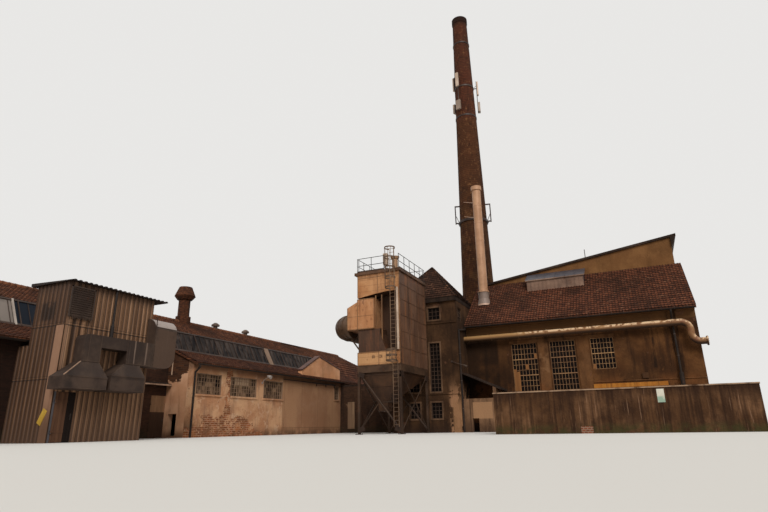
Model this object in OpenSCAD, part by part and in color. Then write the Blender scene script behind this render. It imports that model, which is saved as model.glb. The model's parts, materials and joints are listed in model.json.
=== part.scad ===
// Old brick factory with a boiler house, tall chimney, filter tower and long north-light hall.
// A 1:2 scale model in millimetres. The origin is the centre of the chimney's foot, on the ground.
// X runs along the boiler house facade, Y runs back from it and +Z is up.

/* [Masonry] */
// Thickness of the masonry walls
wall = 240; // [180:10:300]
// Thickness of the ground floor slabs
floor_t = 80; // [40:5:150]

/* [Chimney] */
// Height of the chimney above the ground
chimney_h = 24350; // [20000:50:28000]
// Outer diameter of the shaft where it leaves its base
chimney_foot_d = 1900; // [1600:10:1960]
// Outer diameter of the shaft at its top
chimney_top_d = 850; // [700:10:1100]
// Wall of the shaft at its top
chimney_wall = 130; // [100:5:180]
// Side of the square brick base
chimney_base_w = 2000; // [1980:10:2100]
// Height of the square brick base
chimney_base_h = 1500; // [1000:10:2000]
// Height of the ring that carries the aerials
aerial_ring_h = 19300; // [18800:50:19800]
// Height of the ring with the empty brackets
bracket_ring_h = 10850; // [10400:50:11300]
// Diameter of the round steel flue beside the chimney
flue_d = 415; // [300:5:480]
// Height of the top of the steel flue
flue_h = 11550; // [10000:50:13000]

/* [Boiler house] */
// Length of the boiler house along its facade
boiler_len = 8900; // [8700:10:9400]
// Depth of the boiler house from the facade to the rear hall
boiler_d = 2475; // [2300:5:2700]
// Height of the lower edge of the tiled roof
boiler_eave_h = 4420; // [4200:10:4700]
// Height of the tiled roof where it meets the rear hall
boiler_ridge_h = 6760; // [6500:10:6790]
// How far the tiled roof reaches past the facade
boiler_overhang = 300; // [200:10:350]
// Thickness of the tiled roofs, measured upright
tile_t = 120; // [80:5:150]
// Height of the window heads in the facade
boiler_window_top = 3500; // [3300:10:3600]
// Height of the sills of the two tall windows
boiler_sill_h = 1550; // [1300:10:1900]
// Height of the sill of the short window
short_sill_h = 2290; // [2000:10:2600]

/* [Rear hall] */
// Depth of the rear hall behind the boiler house
rear_d = 4975; // [4000:25:6000]
// Height of the rear hall's roof at its low side
rear_low_h = 6905; // [6850:5:7100]
// Height of the rear hall's roof at its high side
rear_high_h = 8075; // [7800:25:8400]

/* [Stair tower] */
// Width of the stair tower
stair_w = 3035; // [2800:5:3300]
// Depth of the stair tower
stair_d = 3000; // [2800:10:3300]
// Height of the stair tower's walls
stair_h = 5550; // [5300:10:5700]
// Height of the point of its tiled roof
stair_apex_h = 7400; // [7000:10:7900]

/* [Filter tower] */
// Width of the filter casing
filter_w = 1810; // [1600:10:1900]
// Depth of the filter casing
filter_d = 2800; // [2600:10:2950]
// Height of the top of the filter casing
filter_top_h = 6085; // [5800:5:6300]
// Height of the underside of the filter casing
filter_bottom_h = 2500; // [2300:10:2700]
// Thickness of the filter's roof slab
slab_t = 110; // [80:5:150]
// Height of the railing above the slab
rail_h = 600; // [500:10:650]
// Outer diameter of the round intake duct
elbow_d = 930; // [700:10:1000]
// Height of the mouth of the hopper
hopper_out_h = 1140; // [1000:10:1300]
// Side of the square legs and beams of its stand
leg_w = 90; // [70:5:110]
// Width of the ladder
ladder_w = 200; // [180:5:240]
// Diameter of the ladder's cage
cage_d = 420; // [380:5:450]

/* [Production hall] */
// Length of the hall
hall_len = 25500; // [24500:50:27000]
// Span of the hall between the outer faces of its long walls
hall_w = 6000; // [5600:20:6400]
// Height of the hall's ridge
hall_ridge_h = 4805; // [4600:5:5000]
// Height of the lower edge of the steep glazing
glazing_low_h = 3190; // [3100:5:3300]
// Height of the upper edge of the steep glazing
glazing_high_h = 4010; // [3900:5:4100]
// Height of the lower edge of the hall roof
hall_eave_h = 2665; // [2600:5:2750]
// Thickness of the hall's roof and glazing, measured upright
hall_roof_t = 80; // [50:5:100]
// Height of the sills of the hall windows
hall_sill_h = 1540; // [1400:10:1700]
// Height of the heads of the hall windows
hall_window_top = 2310; // [2100:10:2400]

/* [Sheet metal tower] */
// Width of the corrugated tower along the hall
tower_w = 2765; // [2600:5:2900]
// Depth of the corrugated tower out from the hall
tower_d = 1750; // [1600:10:1900]
// Height of the corrugated walls
tower_h = 4060; // [3900:10:4200]
// Distance from rib to rib of the corrugated sheets
rib_pitch = 150; // [120:1:180]
// Depth of the ribs of the corrugated sheets
rib_depth = 28; // [10:1:40]

/* [Doors] */
// Width of the doorway of the corrugated tower
tower_door_w = 530; // [480:5:600]
// Height of that doorway
tower_door_h = 1225; // [1100:5:1300]
// Width of the doorway in the hall's recess
passage_door_w = 680; // [560:5:700]
// Height of that doorway
passage_door_h = 1500; // [1300:5:1600]
// Running gap round a door leaf
door_gap = 6; // [5:0.5:10]
// Thickness of a door leaf
leaf_t = 30; // [24:1:40]
// Diameter of a hinge pin
pin_d = 14; // [10:1:20]

/* [Yard wall] */
// Length of the yard wall
yard_len = 6400; // [6300:10:7000]
// Height of the yard wall
yard_h = 1125; // [900:5:1300]
// Thickness of the yard wall
yard_t = 125; // [100:5:180]

/* [Hidden] */
$fn = 48;

// Lines on the ground plan
boiler_x0 = 405;
boiler_x1 = boiler_x0 + boiler_len;
party_y = -1725;
facade_y = party_y - boiler_d;
rear_x0 = chimney_base_w / 2;
rear_x1 = boiler_x1 - 170;
rear_y1 = party_y + rear_d;
stair_x1 = boiler_x0;
stair_x0 = stair_x1 - stair_w;
stair_y1 = -2500;
stair_y0 = stair_y1 - stair_d;
hall_front_x = -7930;
hall_back_x = hall_front_x - hall_w;
ridge_x = (hall_front_x + hall_back_x) / 2;
hall_y0 = -21250;
hall_y1 = hall_y0 + hall_len;
recess_depth = 1250;
recess_x = hall_front_x - recess_depth;
recess_y0 = -15420;
recess_y1 = -11725;
tower_x1 = hall_front_x + tower_d;
tower_y1 = recess_y0;
tower_y0 = tower_y1 - tower_w;
link_y0 = -600;
link_y1 = 1200;
link_h = 2400;

// Heights of the sloping roofs. A seat is the hair gap under a roof that lies on a slope
seat = 0.3;
boiler_eave_y = facade_y - boiler_overhang;
boiler_slope = (boiler_ridge_h - boiler_eave_h) / (party_y - boiler_eave_y);
function boiler_roof_z(y) = boiler_eave_h + boiler_slope * (y - boiler_eave_y);
function under_boiler_roof(y) = boiler_roof_z(y) - tile_t - seat;
rear_slope = (rear_high_h - rear_low_h) / (rear_x1 - rear_x0);
rear_roof_t = 100;
function rear_roof_z(x) = rear_low_h + rear_slope * (x - rear_x0);
function under_rear_roof(x) = rear_roof_z(x) - rear_roof_t - seat;

// The hall roof's upper side, as points from the front eave to the ridge
hall_overhang = 200;
glazing_end_y = -1500;
hall_eave_x = hall_front_x + hall_overhang;
glazing_low_x = hall_front_x - 950;
glazing_high_x = glazing_low_x - 430;
hall_line = [
    [hall_eave_x, hall_eave_h],
    [glazing_low_x, glazing_low_h],
    [glazing_high_x, glazing_high_h],
    [ridge_x, hall_ridge_h]
];
function other_side(p) = [2 * ridge_x - p[0], p[1]];
function reversed(list) = [for (i = [len(list) - 1:-1:0]) list[i]];
function lowered(list, t) = [for (p = list) [p[0], p[1] - t]];
hall_outline = concat(hall_line, [for (i = [2:-1:0]) other_side(hall_line[i])]);
function hall_roof_z(x) = lookup(-x, [for (p = hall_outline) [-p[0], p[1]]]);

// Shared small tools
module block(x, y, z) {
    translate([x[0], y[0], z[0]]) cube([x[1] - x[0], y[1] - y[0], z[1] - z[0]]);
}
// A drawing in (x, z) pushed along Y
module along_y(y) {
    translate([0, y[1], 0]) rotate([90, 0, 0]) linear_extrude(y[1] - y[0]) children();
}
// A drawing in (y, z) pushed along X
module along_x(x) {
    translate([x[0], 0, 0]) rotate([90, 0, 90]) linear_extrude(x[1] - x[0]) children();
}
// A straight round bar between two points
module bar(a, b, d) {
    v = b - a;
    len_v = norm(v);
    translate(a)
        rotate([0, acos(v[2] / len_v), atan2(v[1], v[0])])
            cylinder(h = len_v, d = d);
}
// A rectangle with one rounded corner. The corner is picked by 0 or 1 for each direction
module soft_box(u, v, r, corner) {
    tip = [u[corner[0]], v[corner[1]]];
    side = [corner[0] > 0 ? 1 : -1, corner[1] > 0 ? 1 : -1];
    middle = tip - r * side;
    difference() {
        translate([u[0], v[0]]) square([u[1] - u[0], v[1] - v[0]]);
        difference() {
            translate([min(middle[0], tip[0] + side[0]), min(middle[1], tip[1] + side[1])]) square(r + 1);
            translate(middle) circle(r);
        }
    }
}
// A half-round gutter of outer diameter d, drawn with its centre at the origin
module gutter_section(d) {
    difference() {
        circle(d = d);
        circle(d = d - 24);
        translate([-d, 0]) square([2 * d, d]);
    }
}
// A strip of roof between two points of a line, of upright thickness t
module roof_strip(a, b, t) {
    polygon([a, b, b - [0, t], a - [0, t]]);
}

// Chimney
chimney_taper = (chimney_foot_d - chimney_top_d) / (chimney_h - chimney_base_h);
function chimney_d(z) = chimney_foot_d - chimney_taper * (z - chimney_base_h);
foot_wall = 2.2 * chimney_wall;
cap_h = 320;
cap_out = 40;

module chimney_base() {
    color("#7c5236")
        block([-chimney_base_w / 2, chimney_base_w / 2], [-chimney_base_w / 2, chimney_base_w / 2],
              [0, chimney_base_h]);
}

module chimney_shaft() {
    neck_h = chimney_h - cap_h - cap_out;
    color("#8a5a3a")
        rotate_extrude()
            polygon([
                [chimney_foot_d / 2 - foot_wall, chimney_base_h],
                [chimney_foot_d / 2, chimney_base_h],
                [chimney_d(neck_h) / 2, neck_h],
                [chimney_top_d / 2 + cap_out, chimney_h - cap_h],
                [chimney_top_d / 2 + cap_out, chimney_h],
                [chimney_top_d / 2 - chimney_wall, chimney_h]
            ]);
}

// A hoop that hugs the tapered shaft from z up to z + hoop_h
hoop_h = 90;
hoop_t = 25;
module shaft_ring(z) {
    rotate_extrude()
        polygon([
            [chimney_d(z) / 2 + seat, z], [chimney_d(z) / 2 + hoop_t, z],
            [chimney_d(z + hoop_h) / 2 + hoop_t, z + hoop_h], [chimney_d(z + hoop_h) / 2 + seat, z + hoop_h]
        ]);
}
// An upright rod on two arms, at radius r and turned to angle a
module held_rod(a, r, z_ring, z, d) {
    arm_r = chimney_d(z_ring) / 2 + hoop_t / 2;
    rotate([0, 0, a]) {
        block([arm_r, r], [-d / 2, d / 2], [z_ring + 25, z_ring + 25 + d]);
        bar([arm_r, 0, z_ring + hoop_h / 2], [r, 0, (z_ring + z[1]) / 2], d / 2);
        translate([r, 0, z[0]]) cylinder(h = z[1] - z[0], d = d);
    }
}

// Two plain hoops and the lower ring with its empty brackets
plain_hoops_h = [17300, 22400];
bracket_angles = [-165, 15];
bracket_r = 950;
bracket_rod_h = 1080;
bracket_rod_d = 60;
module chimney_hoops() {
    color("#4a3a30") {
        for (z = plain_hoops_h) shaft_ring(z);
        shaft_ring(bracket_ring_h);
        // Each bracket is a loop: rod, lower arm with a strut, and an upper arm that rests on the shaft
        top = bracket_ring_h + bracket_rod_h;
        for (a = bracket_angles) {
            held_rod(a, bracket_r, bracket_ring_h, [bracket_ring_h, top], bracket_rod_d);
            rotate([0, 0, a])
                block([chimney_d(top - bracket_rod_d) / 2 + seat, bracket_r],
                      [-bracket_rod_d / 2, bracket_rod_d / 2], [top - bracket_rod_d, top]);
        }
    }
}

// Three aerials round the shaft, each a panel and a box on one pole
aerial_angles = [-104, 14, 153];
aerial_panel_z = [-90, -420, 380];
aerial_box_z = [-1660, -1560, -1180];
aerial_r = 730;
aerial_rod_d = 40;
panel_size = [90, 170, 900];
box_size = [130, 270, 600];
module aerial_frame() {
    color("#b9b0a2") {
        shaft_ring(aerial_ring_h);
        for (i = [0:2]) {
            z_low = aerial_ring_h + aerial_box_z[i] - 60;
            z_high = aerial_ring_h + aerial_panel_z[i] + panel_size[2] + 60;
            held_rod(aerial_angles[i], aerial_r, aerial_ring_h, [z_low, z_high], aerial_rod_d);
            rotate([0, 0, aerial_angles[i]]) {
                translate([aerial_r + 5, -panel_size[1] / 2, aerial_ring_h + aerial_panel_z[i]])
                    cube(panel_size);
                translate([aerial_r + 5, -box_size[1] / 2, aerial_ring_h + aerial_box_z[i]])
                    cube(box_size);
            }
        }
    }
}

// Steel flue on the tiled roof
flue_x = 1020;
flue_y = -3000;
flue_cap_h = 200;
flue_cap_out = 45;
flue_bore_depth = 600;
sleeve_h = 480;
sleeve_out = 30;
collar_h = 50;
foot_cone_h = 330;
// Each stay runs from a height on the flue to a height on the chimney
flue_stays = [[10750, 11900], [9960, 11050]];
stay_angle = -114;
stay_d = 30;
module above_boiler_roof() {
    difference() {
        children();
        along_x([boiler_x0 - 100, boiler_x1 + 100])
            polygon([
                [boiler_eave_y, boiler_eave_h + seat], [party_y, boiler_ridge_h + seat],
                [party_y, 0], [boiler_eave_y, 0]
            ]);
    }
}
module steel_flue() {
    roof_h = boiler_roof_z(flue_y);
    color("#cdb9a2") {
        above_boiler_roof()
            translate([flue_x, flue_y, 0])
                difference() {
                    union() {
                        cylinder(h = flue_h, d = flue_d);
                        translate([0, 0, flue_h - flue_cap_h])
                            cylinder(h = flue_cap_h, d = flue_d + 2 * flue_cap_out);
                        cylinder(h = roof_h + sleeve_h, d = flue_d + 2 * sleeve_out);
                        translate([0, 0, roof_h + sleeve_h])
                            cylinder(h = collar_h, d = flue_d + 4 * sleeve_out);
                        translate([0, 0, roof_h - foot_cone_h / 2])
                            cylinder(h = foot_cone_h, d1 = flue_d + 8 * sleeve_out,
                                     d2 = flue_d + 2 * sleeve_out);
                    }
                    translate([0, 0, flue_h - flue_bore_depth])
                        cylinder(h = flue_bore_depth + 1, d = flue_d - 60);
                }
        for (z = flue_stays) {
            r = chimney_d(z[1]) / 2 + stay_d / 2;
            bar([flue_x - flue_d / 2 + 10, flue_y, z[0]],
                [r * cos(stay_angle), r * sin(stay_angle), z[1]], stay_d);
        }
    }
}

// Boiler house
boiler_windows_x = [[2330, 3360], [3890, 4875], [5470, 6320]];
boiler_sills = [boiler_sill_h, boiler_sill_h, short_sill_h];

cornice_h = 125;
cornice_out = 90;
relief = 30;
lintel_h = 130;
piers_x = [[3420, 3830], [4935, 5410]];
ledge_x0 = 5320;
ledge_z = [1780, 1820];
module boiler_front_wall() {
    color("#6b5140")
        difference() {
            union() {
                along_x([boiler_x0, boiler_x1])
                    polygon([
                        [facade_y, 0], [facade_y, under_boiler_roof(facade_y)],
                        [facade_y + wall, under_boiler_roof(facade_y + wall)], [facade_y + wall, 0]
                    ]);
                // Cornice, lintels, flat piers and the ledge on the right
                block([boiler_x0, boiler_x1], [facade_y - cornice_out, facade_y + 1],
                      [boiler_eave_h - cornice_h, boiler_eave_h]);
                for (x = boiler_windows_x)
                    block([x[0] - 60, x[1] + 60], [facade_y - relief, facade_y + 1],
                          [boiler_window_top, boiler_window_top + lintel_h]);
                for (x = piers_x)
                    block(x, [facade_y - relief, facade_y + 1], [0, boiler_window_top + lintel_h]);
                block([ledge_x0, boiler_x1], [facade_y - relief, facade_y + 1], ledge_z);
            }
            for (i = [0:2])
                block(boiler_windows_x[i], [facade_y - relief - 1, facade_y + wall + 1],
                      [boiler_sills[i], boiler_window_top]);
        }
}

module boiler_gable(x) {
    along_x(x)
        polygon([
            [facade_y + wall, 0], [facade_y + wall, under_boiler_roof(facade_y + wall)],
            [party_y, under_boiler_roof(party_y)], [party_y, 0]
        ]);
}
module boiler_gable_walls() {
    color("#6b5140") {
        boiler_gable([boiler_x0, boiler_x0 + wall]);
        boiler_gable([boiler_x1 - wall, boiler_x1]);
    }
}

module party_wall() {
    color("#8d6f45")
        along_y([party_y, party_y + wall])
            polygon([
                [boiler_x0, 0], [boiler_x0, boiler_ridge_h], [rear_x0, boiler_ridge_h],
                [rear_x0, under_rear_roof(rear_x0)],
                [rear_x1, under_rear_roof(rear_x1)],
                [rear_x1, boiler_ridge_h], [boiler_x1, boiler_ridge_h], [boiler_x1, 0]
            ]);
}

verge_out = 45;
module boiler_roof() {
    color("#7a4632")
        along_x([boiler_x0, boiler_x1 + verge_out])
            roof_strip([boiler_eave_y, boiler_eave_h], [party_y, boiler_ridge_h], tile_t);
}

window_t = 40;
window_set = 60;
module boiler_windows() {
    color("#3a342c")
        for (i = [0:2])
            block(boiler_windows_x[i], [facade_y + window_set, facade_y + window_set + window_t],
                  [boiler_sills[i], boiler_window_top]);
}

// Long board under the ledge and the small vent above it
board_x = [piers_x[1][1], 8000];
module facade_board() {
    color("#a9702a") {
        block(board_x, [facade_y - 60, facade_y], [1560, 1715]);
        block([7180, 7390], [facade_y - 80, facade_y], [1860, 2060]);
    }
}

// Long monitor against the rear hall: an upright front and a sloping sheet on top
monitor_x = [2950, 5425];
monitor_y = -2560;
monitor_front_h = 6576;
monitor_back_h = 7044;
monitor_sheet_t = 25;
monitor_sheet_out = 60;
module roof_monitor() {
    back_y = party_y - seat;
    slope = (monitor_back_h - monitor_front_h) / (back_y - monitor_y);
    low_y = monitor_y - monitor_sheet_out;
    low_z = monitor_front_h - slope * monitor_sheet_out + monitor_sheet_t;
    color("#b9b4ac")
        above_boiler_roof() {
            along_x(monitor_x)
                polygon([
                    [monitor_y, boiler_eave_h], [monitor_y, monitor_front_h],
                    [back_y, monitor_back_h], [back_y, boiler_eave_h]
                ]);
            along_x([monitor_x[0] - monitor_sheet_out, monitor_x[1] + monitor_sheet_out])
                roof_strip([low_y, low_z], [back_y, monitor_back_h + monitor_sheet_t], monitor_sheet_t + 1);
        }
}

// Lagged pipe along the facade
pipe_d = 250;
pipe_z = 3810;
pipe_low_z = 3065;
pipe_y = boiler_eave_y;
pipe_bend_x = 8720;
pipe_bend_r = 300;
pipe_tail = 200;
band_out = 12;
band_w = 40;
band_pitch = 1150;
pipe_bracket_pitch = 1400;
module pipe_band(x, z, out) {
    translate([x, pipe_y, z]) rotate([0, 90, 0]) cylinder(h = band_w, d = pipe_d + 2 * out);
}
module steam_pipe() {
    color("#b59a78") {
        translate([boiler_x0, pipe_y, pipe_z]) rotate([0, 90, 0])
            cylinder(h = pipe_bend_x - boiler_x0, d = pipe_d);
        // The swan neck at the corner
        translate([pipe_bend_x, pipe_y, pipe_z - pipe_bend_r]) rotate([90, 0, 0])
            rotate_extrude(angle = 90) translate([pipe_bend_r, 0]) circle(d = pipe_d);
        translate([pipe_bend_x + pipe_bend_r, pipe_y, pipe_low_z + pipe_bend_r])
            cylinder(h = pipe_z - pipe_low_z - 2 * pipe_bend_r, d = pipe_d);
        translate([pipe_bend_x + 2 * pipe_bend_r, pipe_y, pipe_low_z + pipe_bend_r])
            rotate([90, 0, 0]) rotate([0, 0, 180])
                rotate_extrude(angle = 90) translate([pipe_bend_r, 0]) circle(d = pipe_d);
        translate([pipe_bend_x + 2 * pipe_bend_r, pipe_y, pipe_low_z]) rotate([0, 90, 0])
            cylinder(h = pipe_tail, d = pipe_d);
        // Joint bands, end flange and brackets back to the facade
        for (x = [boiler_x0 + band_pitch:band_pitch:pipe_bend_x]) pipe_band(x, pipe_z, band_out);
        pipe_band(pipe_bend_x + 2 * pipe_bend_r + pipe_tail - band_w, pipe_low_z, 4 * band_out);
        for (x = [boiler_x0 + 600:pipe_bracket_pitch:pipe_bend_x - 600])
            block([x, x + 50], [pipe_y, facade_y], [pipe_z - 60, pipe_z + 60]);
    }
}

// Rear hall
rear_overhang = 225;
rear_eave_out = 90;
eave_box_drop = 470;
roof_pole_x = 5577;
roof_pole_h = 400;
module rear_wall_section(x, y) {
    along_y(y)
        polygon([
            [x[0], 0], [x[0], under_rear_roof(x[0])], [x[1], under_rear_roof(x[1])], [x[1], 0]
        ]);
}
module rear_hall_walls() {
    color("#8d6f45") {
        rear_wall_section([rear_x0, rear_x0 + wall], [party_y + wall, rear_y1]);
        rear_wall_section([rear_x1 - wall, rear_x1], [party_y + wall, rear_y1]);
        rear_wall_section([rear_x0, rear_x1], [rear_y1 - wall, rear_y1]);
    }
}
module rear_hall_roof() {
    tip_x = rear_x1 + rear_overhang;
    wall_z = rear_roof_z(rear_x1) - rear_roof_t;
    tip_z = rear_roof_z(tip_x) - rear_roof_t;
    color("#453530") {
        along_y([party_y - rear_eave_out, rear_y1 + rear_eave_out]) {
            roof_strip([rear_x0 - 60, rear_roof_z(rear_x0 - 60)], [tip_x, rear_roof_z(tip_x)], rear_roof_t);
            // Boxed eave at the high side
            polygon([
                [rear_x1 + seat, wall_z + rear_roof_t / 2], [tip_x, tip_z + rear_roof_t / 2],
                [tip_x, tip_z], [rear_x1 + seat, wall_z - eave_box_drop]
            ]);
        }
        translate([roof_pole_x, party_y - 60, rear_roof_z(roof_pole_x) - 20])
            cylinder(h = roof_pole_h, d = 30);
    }
}

// Stair tower
stair_mid_x = (stair_x0 + stair_x1) / 2;
stair_mid_y = (stair_y0 + stair_y1) / 2;
stair_window_in = 250;
stair_window_w = [450, 460, 520];
stair_window_z = [[550, 1180], [1615, 3620], [4620, 5140]];
stair_bands_z = [[1500, 1560], [4435, 4495]];
stair_band_out = 35;
function stair_window_x(i, side) =
    side > 0 ? [stair_mid_x + stair_window_in, stair_mid_x + stair_window_in + stair_window_w[i]]
             : [stair_mid_x - stair_window_in - stair_window_w[i], stair_mid_x - stair_window_in];

// Small window high in the right side, close to the front corner
side_window_y = [-5330, -4780];
side_window_z = [4560, 5100];
module stair_side_hole() {
    block([stair_x1 - wall - 1, stair_x1 + 1], side_window_y, side_window_z);
}
module stair_front_wall() {
    color("#75604e") {
        difference() {
            block([stair_x0, stair_x1], [stair_y0, stair_y0 + wall], [0, stair_h]);
            stair_side_hole();
            for (i = [0:2], side = [-1, 1])
                block(stair_window_x(i, side), [stair_y0 - 1, stair_y0 + wall + 1], stair_window_z[i]);
        }
        for (z = stair_bands_z)
            block([stair_x0, stair_x1], [stair_y0 - stair_band_out, stair_y0 + 1], z);
    }
}
module stair_rear_walls() {
    color("#75604e") {
        difference() {
            for (x = [[stair_x0, stair_x0 + wall], [stair_x1 - wall, stair_x1]])
                block(x, [stair_y0 + wall, stair_y1], [0, stair_h]);
            stair_side_hole();
        }
        block([stair_x0, stair_x1], [stair_y1 - wall, stair_y1], [0, stair_h]);
    }
}
// A hipped roof of four planes over the rectangle x by y, from z up to apex
module pyramid(x, y, z, apex) {
    intersection() {
        along_y([y[0], y[1]]) polygon([[x[0], z], [x[1], z], [stair_mid_x, apex]]);
        along_x([x[0], x[1]]) polygon([[y[0], z], [y[1], z], [stair_mid_y, apex]]);
    }
}
stair_eave_out = 100;
stair_eave_drop = 170;
roof_shell = 300;
module stair_tower_roof() {
    outer_x = [stair_x0 - stair_eave_out, stair_x1];
    outer_y = [stair_y0 - stair_eave_out, stair_y1 + stair_eave_out];
    color("#5f4236")
        difference() {
            union() {
                pyramid(outer_x, outer_y, stair_h, stair_apex_h);
                block(outer_x, outer_y, [stair_h - stair_eave_drop, stair_h]);
            }
            pyramid([stair_x0 + wall, stair_x1 - wall], [stair_y0 + wall, stair_y1 - wall],
                    stair_h - 1, stair_apex_h - roof_shell);
            // Room for the heads of the walls inside the boxed eave
            block([stair_x0 - seat, stair_x1 + 1], [stair_y0 - seat, stair_y1 + seat],
                  [stair_h - stair_eave_drop - 1, stair_h]);
        }
}
module stair_windows() {
    color("#3a342c") {
        for (i = [0:2], side = [-1, 1])
            block(stair_window_x(i, side), [stair_y0 + window_set, stair_y0 + window_set + window_t],
                  stair_window_z[i]);
        block([stair_x1 - window_set - window_t, stair_x1 - window_set], side_window_y, side_window_z);
    }
}

// Low annex in the corner of the stair tower and the boiler house
annex_x1 = 1820;
annex_y0 = -5400;
annex_wall = 120;
annex_low_h = 1290;
annex_roof_t = 60;
annex_roof_out = 190;
annex_hole_x = [817, 1068];
annex_hole_h = 530;
function annex_roof_z(x) = 2380 - 0.45 * (x - boiler_x0);
function under_annex_roof(x) = annex_roof_z(x) - annex_roof_t - seat;
module annex_walls() {
    color("#c4ab8a")
        difference() {
            union() {
                block([boiler_x0, annex_x1], [annex_y0, annex_y0 + annex_wall], [0, annex_low_h]);
                along_y([annex_y0, facade_y])
                    polygon([
                        [annex_x1 - annex_wall, 0],
                        [annex_x1 - annex_wall, under_annex_roof(annex_x1 - annex_wall)],
                        [annex_x1, under_annex_roof(annex_x1)], [annex_x1, 0]
                    ]);
            }
            block(annex_hole_x, [annex_y0 - 1, annex_y0 + annex_wall + 1], [-1, annex_hole_h]);
        }
}
module annex_roof() {
    x1 = annex_x1 + annex_roof_out;
    color("#54433a")
        along_y([annex_y0, facade_y])
            roof_strip([boiler_x0, annex_roof_z(boiler_x0)], [x1, annex_roof_z(x1)], annex_roof_t);
}

// Filter tower
filter_x0 = -2685;
filter_x1 = filter_x0 + filter_w;
filter_y0 = -8600;
filter_y1 = filter_y0 + filter_d;
bay_depth = 700;
bay_floor_h = 3005;
bay_x1 = filter_x1 - 60;
// The ragged lower edge of the upper front panel
bay_head = [[filter_x0 - 1, 5150], [filter_x0 + 730, 5261], [filter_x0 + 1250, 5316], [bay_x1, 5316]];
side_pipe_d = 84;
side_pipe_x = -945;
side_pipe_y = filter_y0 - 60;
side_pipe_z = [3015, 5420];
module filter_casing() {
    color("#c0a47a") {
        difference() {
            block([filter_x0, filter_x1], [filter_y0, filter_y1], [filter_bottom_h, filter_top_h]);
            along_y([filter_y0 - 1, filter_y0 + bay_depth])
                polygon(concat([[bay_x1, bay_floor_h], [filter_x0 - 1, bay_floor_h]], bay_head));
        }
        // Pale upright pipe on its two lugs
        translate([side_pipe_x, side_pipe_y, side_pipe_z[0]])
            cylinder(h = side_pipe_z[1] - side_pipe_z[0], d = side_pipe_d);
        for (z = [side_pipe_z[0] + 300, side_pipe_z[1] - 60])
            block([filter_x1 - 50, filter_x1 - 5], [side_pipe_y, filter_y0 + 1], [z, z + 40]);
    }
}
intake_x = [filter_x0 - 465, filter_x0 + 720];
intake_z = [3903, 5115];
intake_shoulder_z = [4801, 5020];
intake_d = 1000;
chute_x = [filter_x0 + 10, filter_x0 + 945, filter_x0 + 1200];
chute_set = 60;
module filter_intake() {
    color("#c0a47a") {
        along_y([filter_y0, filter_y0 + bay_depth])
            polygon([
                [filter_x0 - 10, intake_z[0]], [intake_x[1], intake_z[0]],
                [intake_x[1], intake_z[1]], [filter_x0 - 10, intake_z[1]]
            ]);
        along_y([filter_y0, filter_y0 + intake_d])
            polygon([
                [intake_x[0], intake_z[0]], [filter_x0, intake_z[0]],
                [filter_x0, intake_shoulder_z[1]], [intake_x[0], intake_shoulder_z[0]]
            ]);
        // Chute that widens down to the band below
        along_y([filter_y0 + chute_set, filter_y0 + bay_depth])
            polygon([
                [chute_x[0], bay_floor_h], [chute_x[2], bay_floor_h],
                [chute_x[1], intake_z[0] - 200], [chute_x[1], intake_z[0] + 1], [chute_x[0], intake_z[0] + 1]
            ]);
    }
}
duct_y = filter_y0 + intake_d / 2;
duct_z = 4150;
duct_r = 480;
duct_run_x = intake_x[0] - duct_r;
duct_end_y = link_y0 + 600;
flange_out = 25;
flange_w = 40;
duct_flanges = 5;
duct_foot_z = link_h + 100;
module filter_duct() {
    run_y = [duct_y + duct_r, duct_end_y - duct_r];
    first_flange = run_y[0] + 2 * flange_w;
    flange_pitch = (run_y[1] - first_flange - flange_w) / (duct_flanges - 1);
    color("#7d7468") {
        translate([intake_x[0], duct_y + duct_r, duct_z])
            rotate([0, 0, 180]) rotate_extrude(angle = 90) translate([duct_r, 0]) circle(d = elbow_d);
        translate([duct_run_x, run_y[0], duct_z]) rotate([-90, 0, 0])
            cylinder(h = run_y[1] - run_y[0], d = elbow_d);
        translate([duct_run_x, duct_end_y - duct_r, duct_z - duct_r]) rotate([90, 0, 90])
            rotate_extrude(angle = 90) translate([duct_r, 0]) circle(d = elbow_d);
        translate([duct_run_x, duct_end_y, duct_foot_z])
            cylinder(h = duct_z - duct_r - duct_foot_z, d = elbow_d);
        // Flanges along the run, arms to the stair tower and the strut below the elbow
        for (i = [0:duct_flanges - 1])
            translate([duct_run_x, first_flange + i * flange_pitch, duct_z])
                rotate([-90, 0, 0]) cylinder(h = flange_w, d = elbow_d + 2 * flange_out);
        translate([intake_x[0] - flange_w, duct_y, duct_z]) rotate([0, 90, 0])
            cylinder(h = flange_w, d = elbow_d + 2 * flange_out);
        for (y = [stair_y0 + 500, stair_y1 - 500])
            block([duct_run_x, stair_x0], [y, y + 80], [duct_z - 40, duct_z + 40]);
        bar([intake_x[0] - 150, duct_y, duct_z - elbow_d / 2 + 60], [filter_x0 - 40, duct_y, bay_floor_h], 60);
    }
}
hopper_skirt = 375;
hopper_mouth = 440;
hopper_mid = [filter_x0 + filter_w / 2, filter_y0 + 515];
valve_w = 380;
valve_drop = 320;
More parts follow.
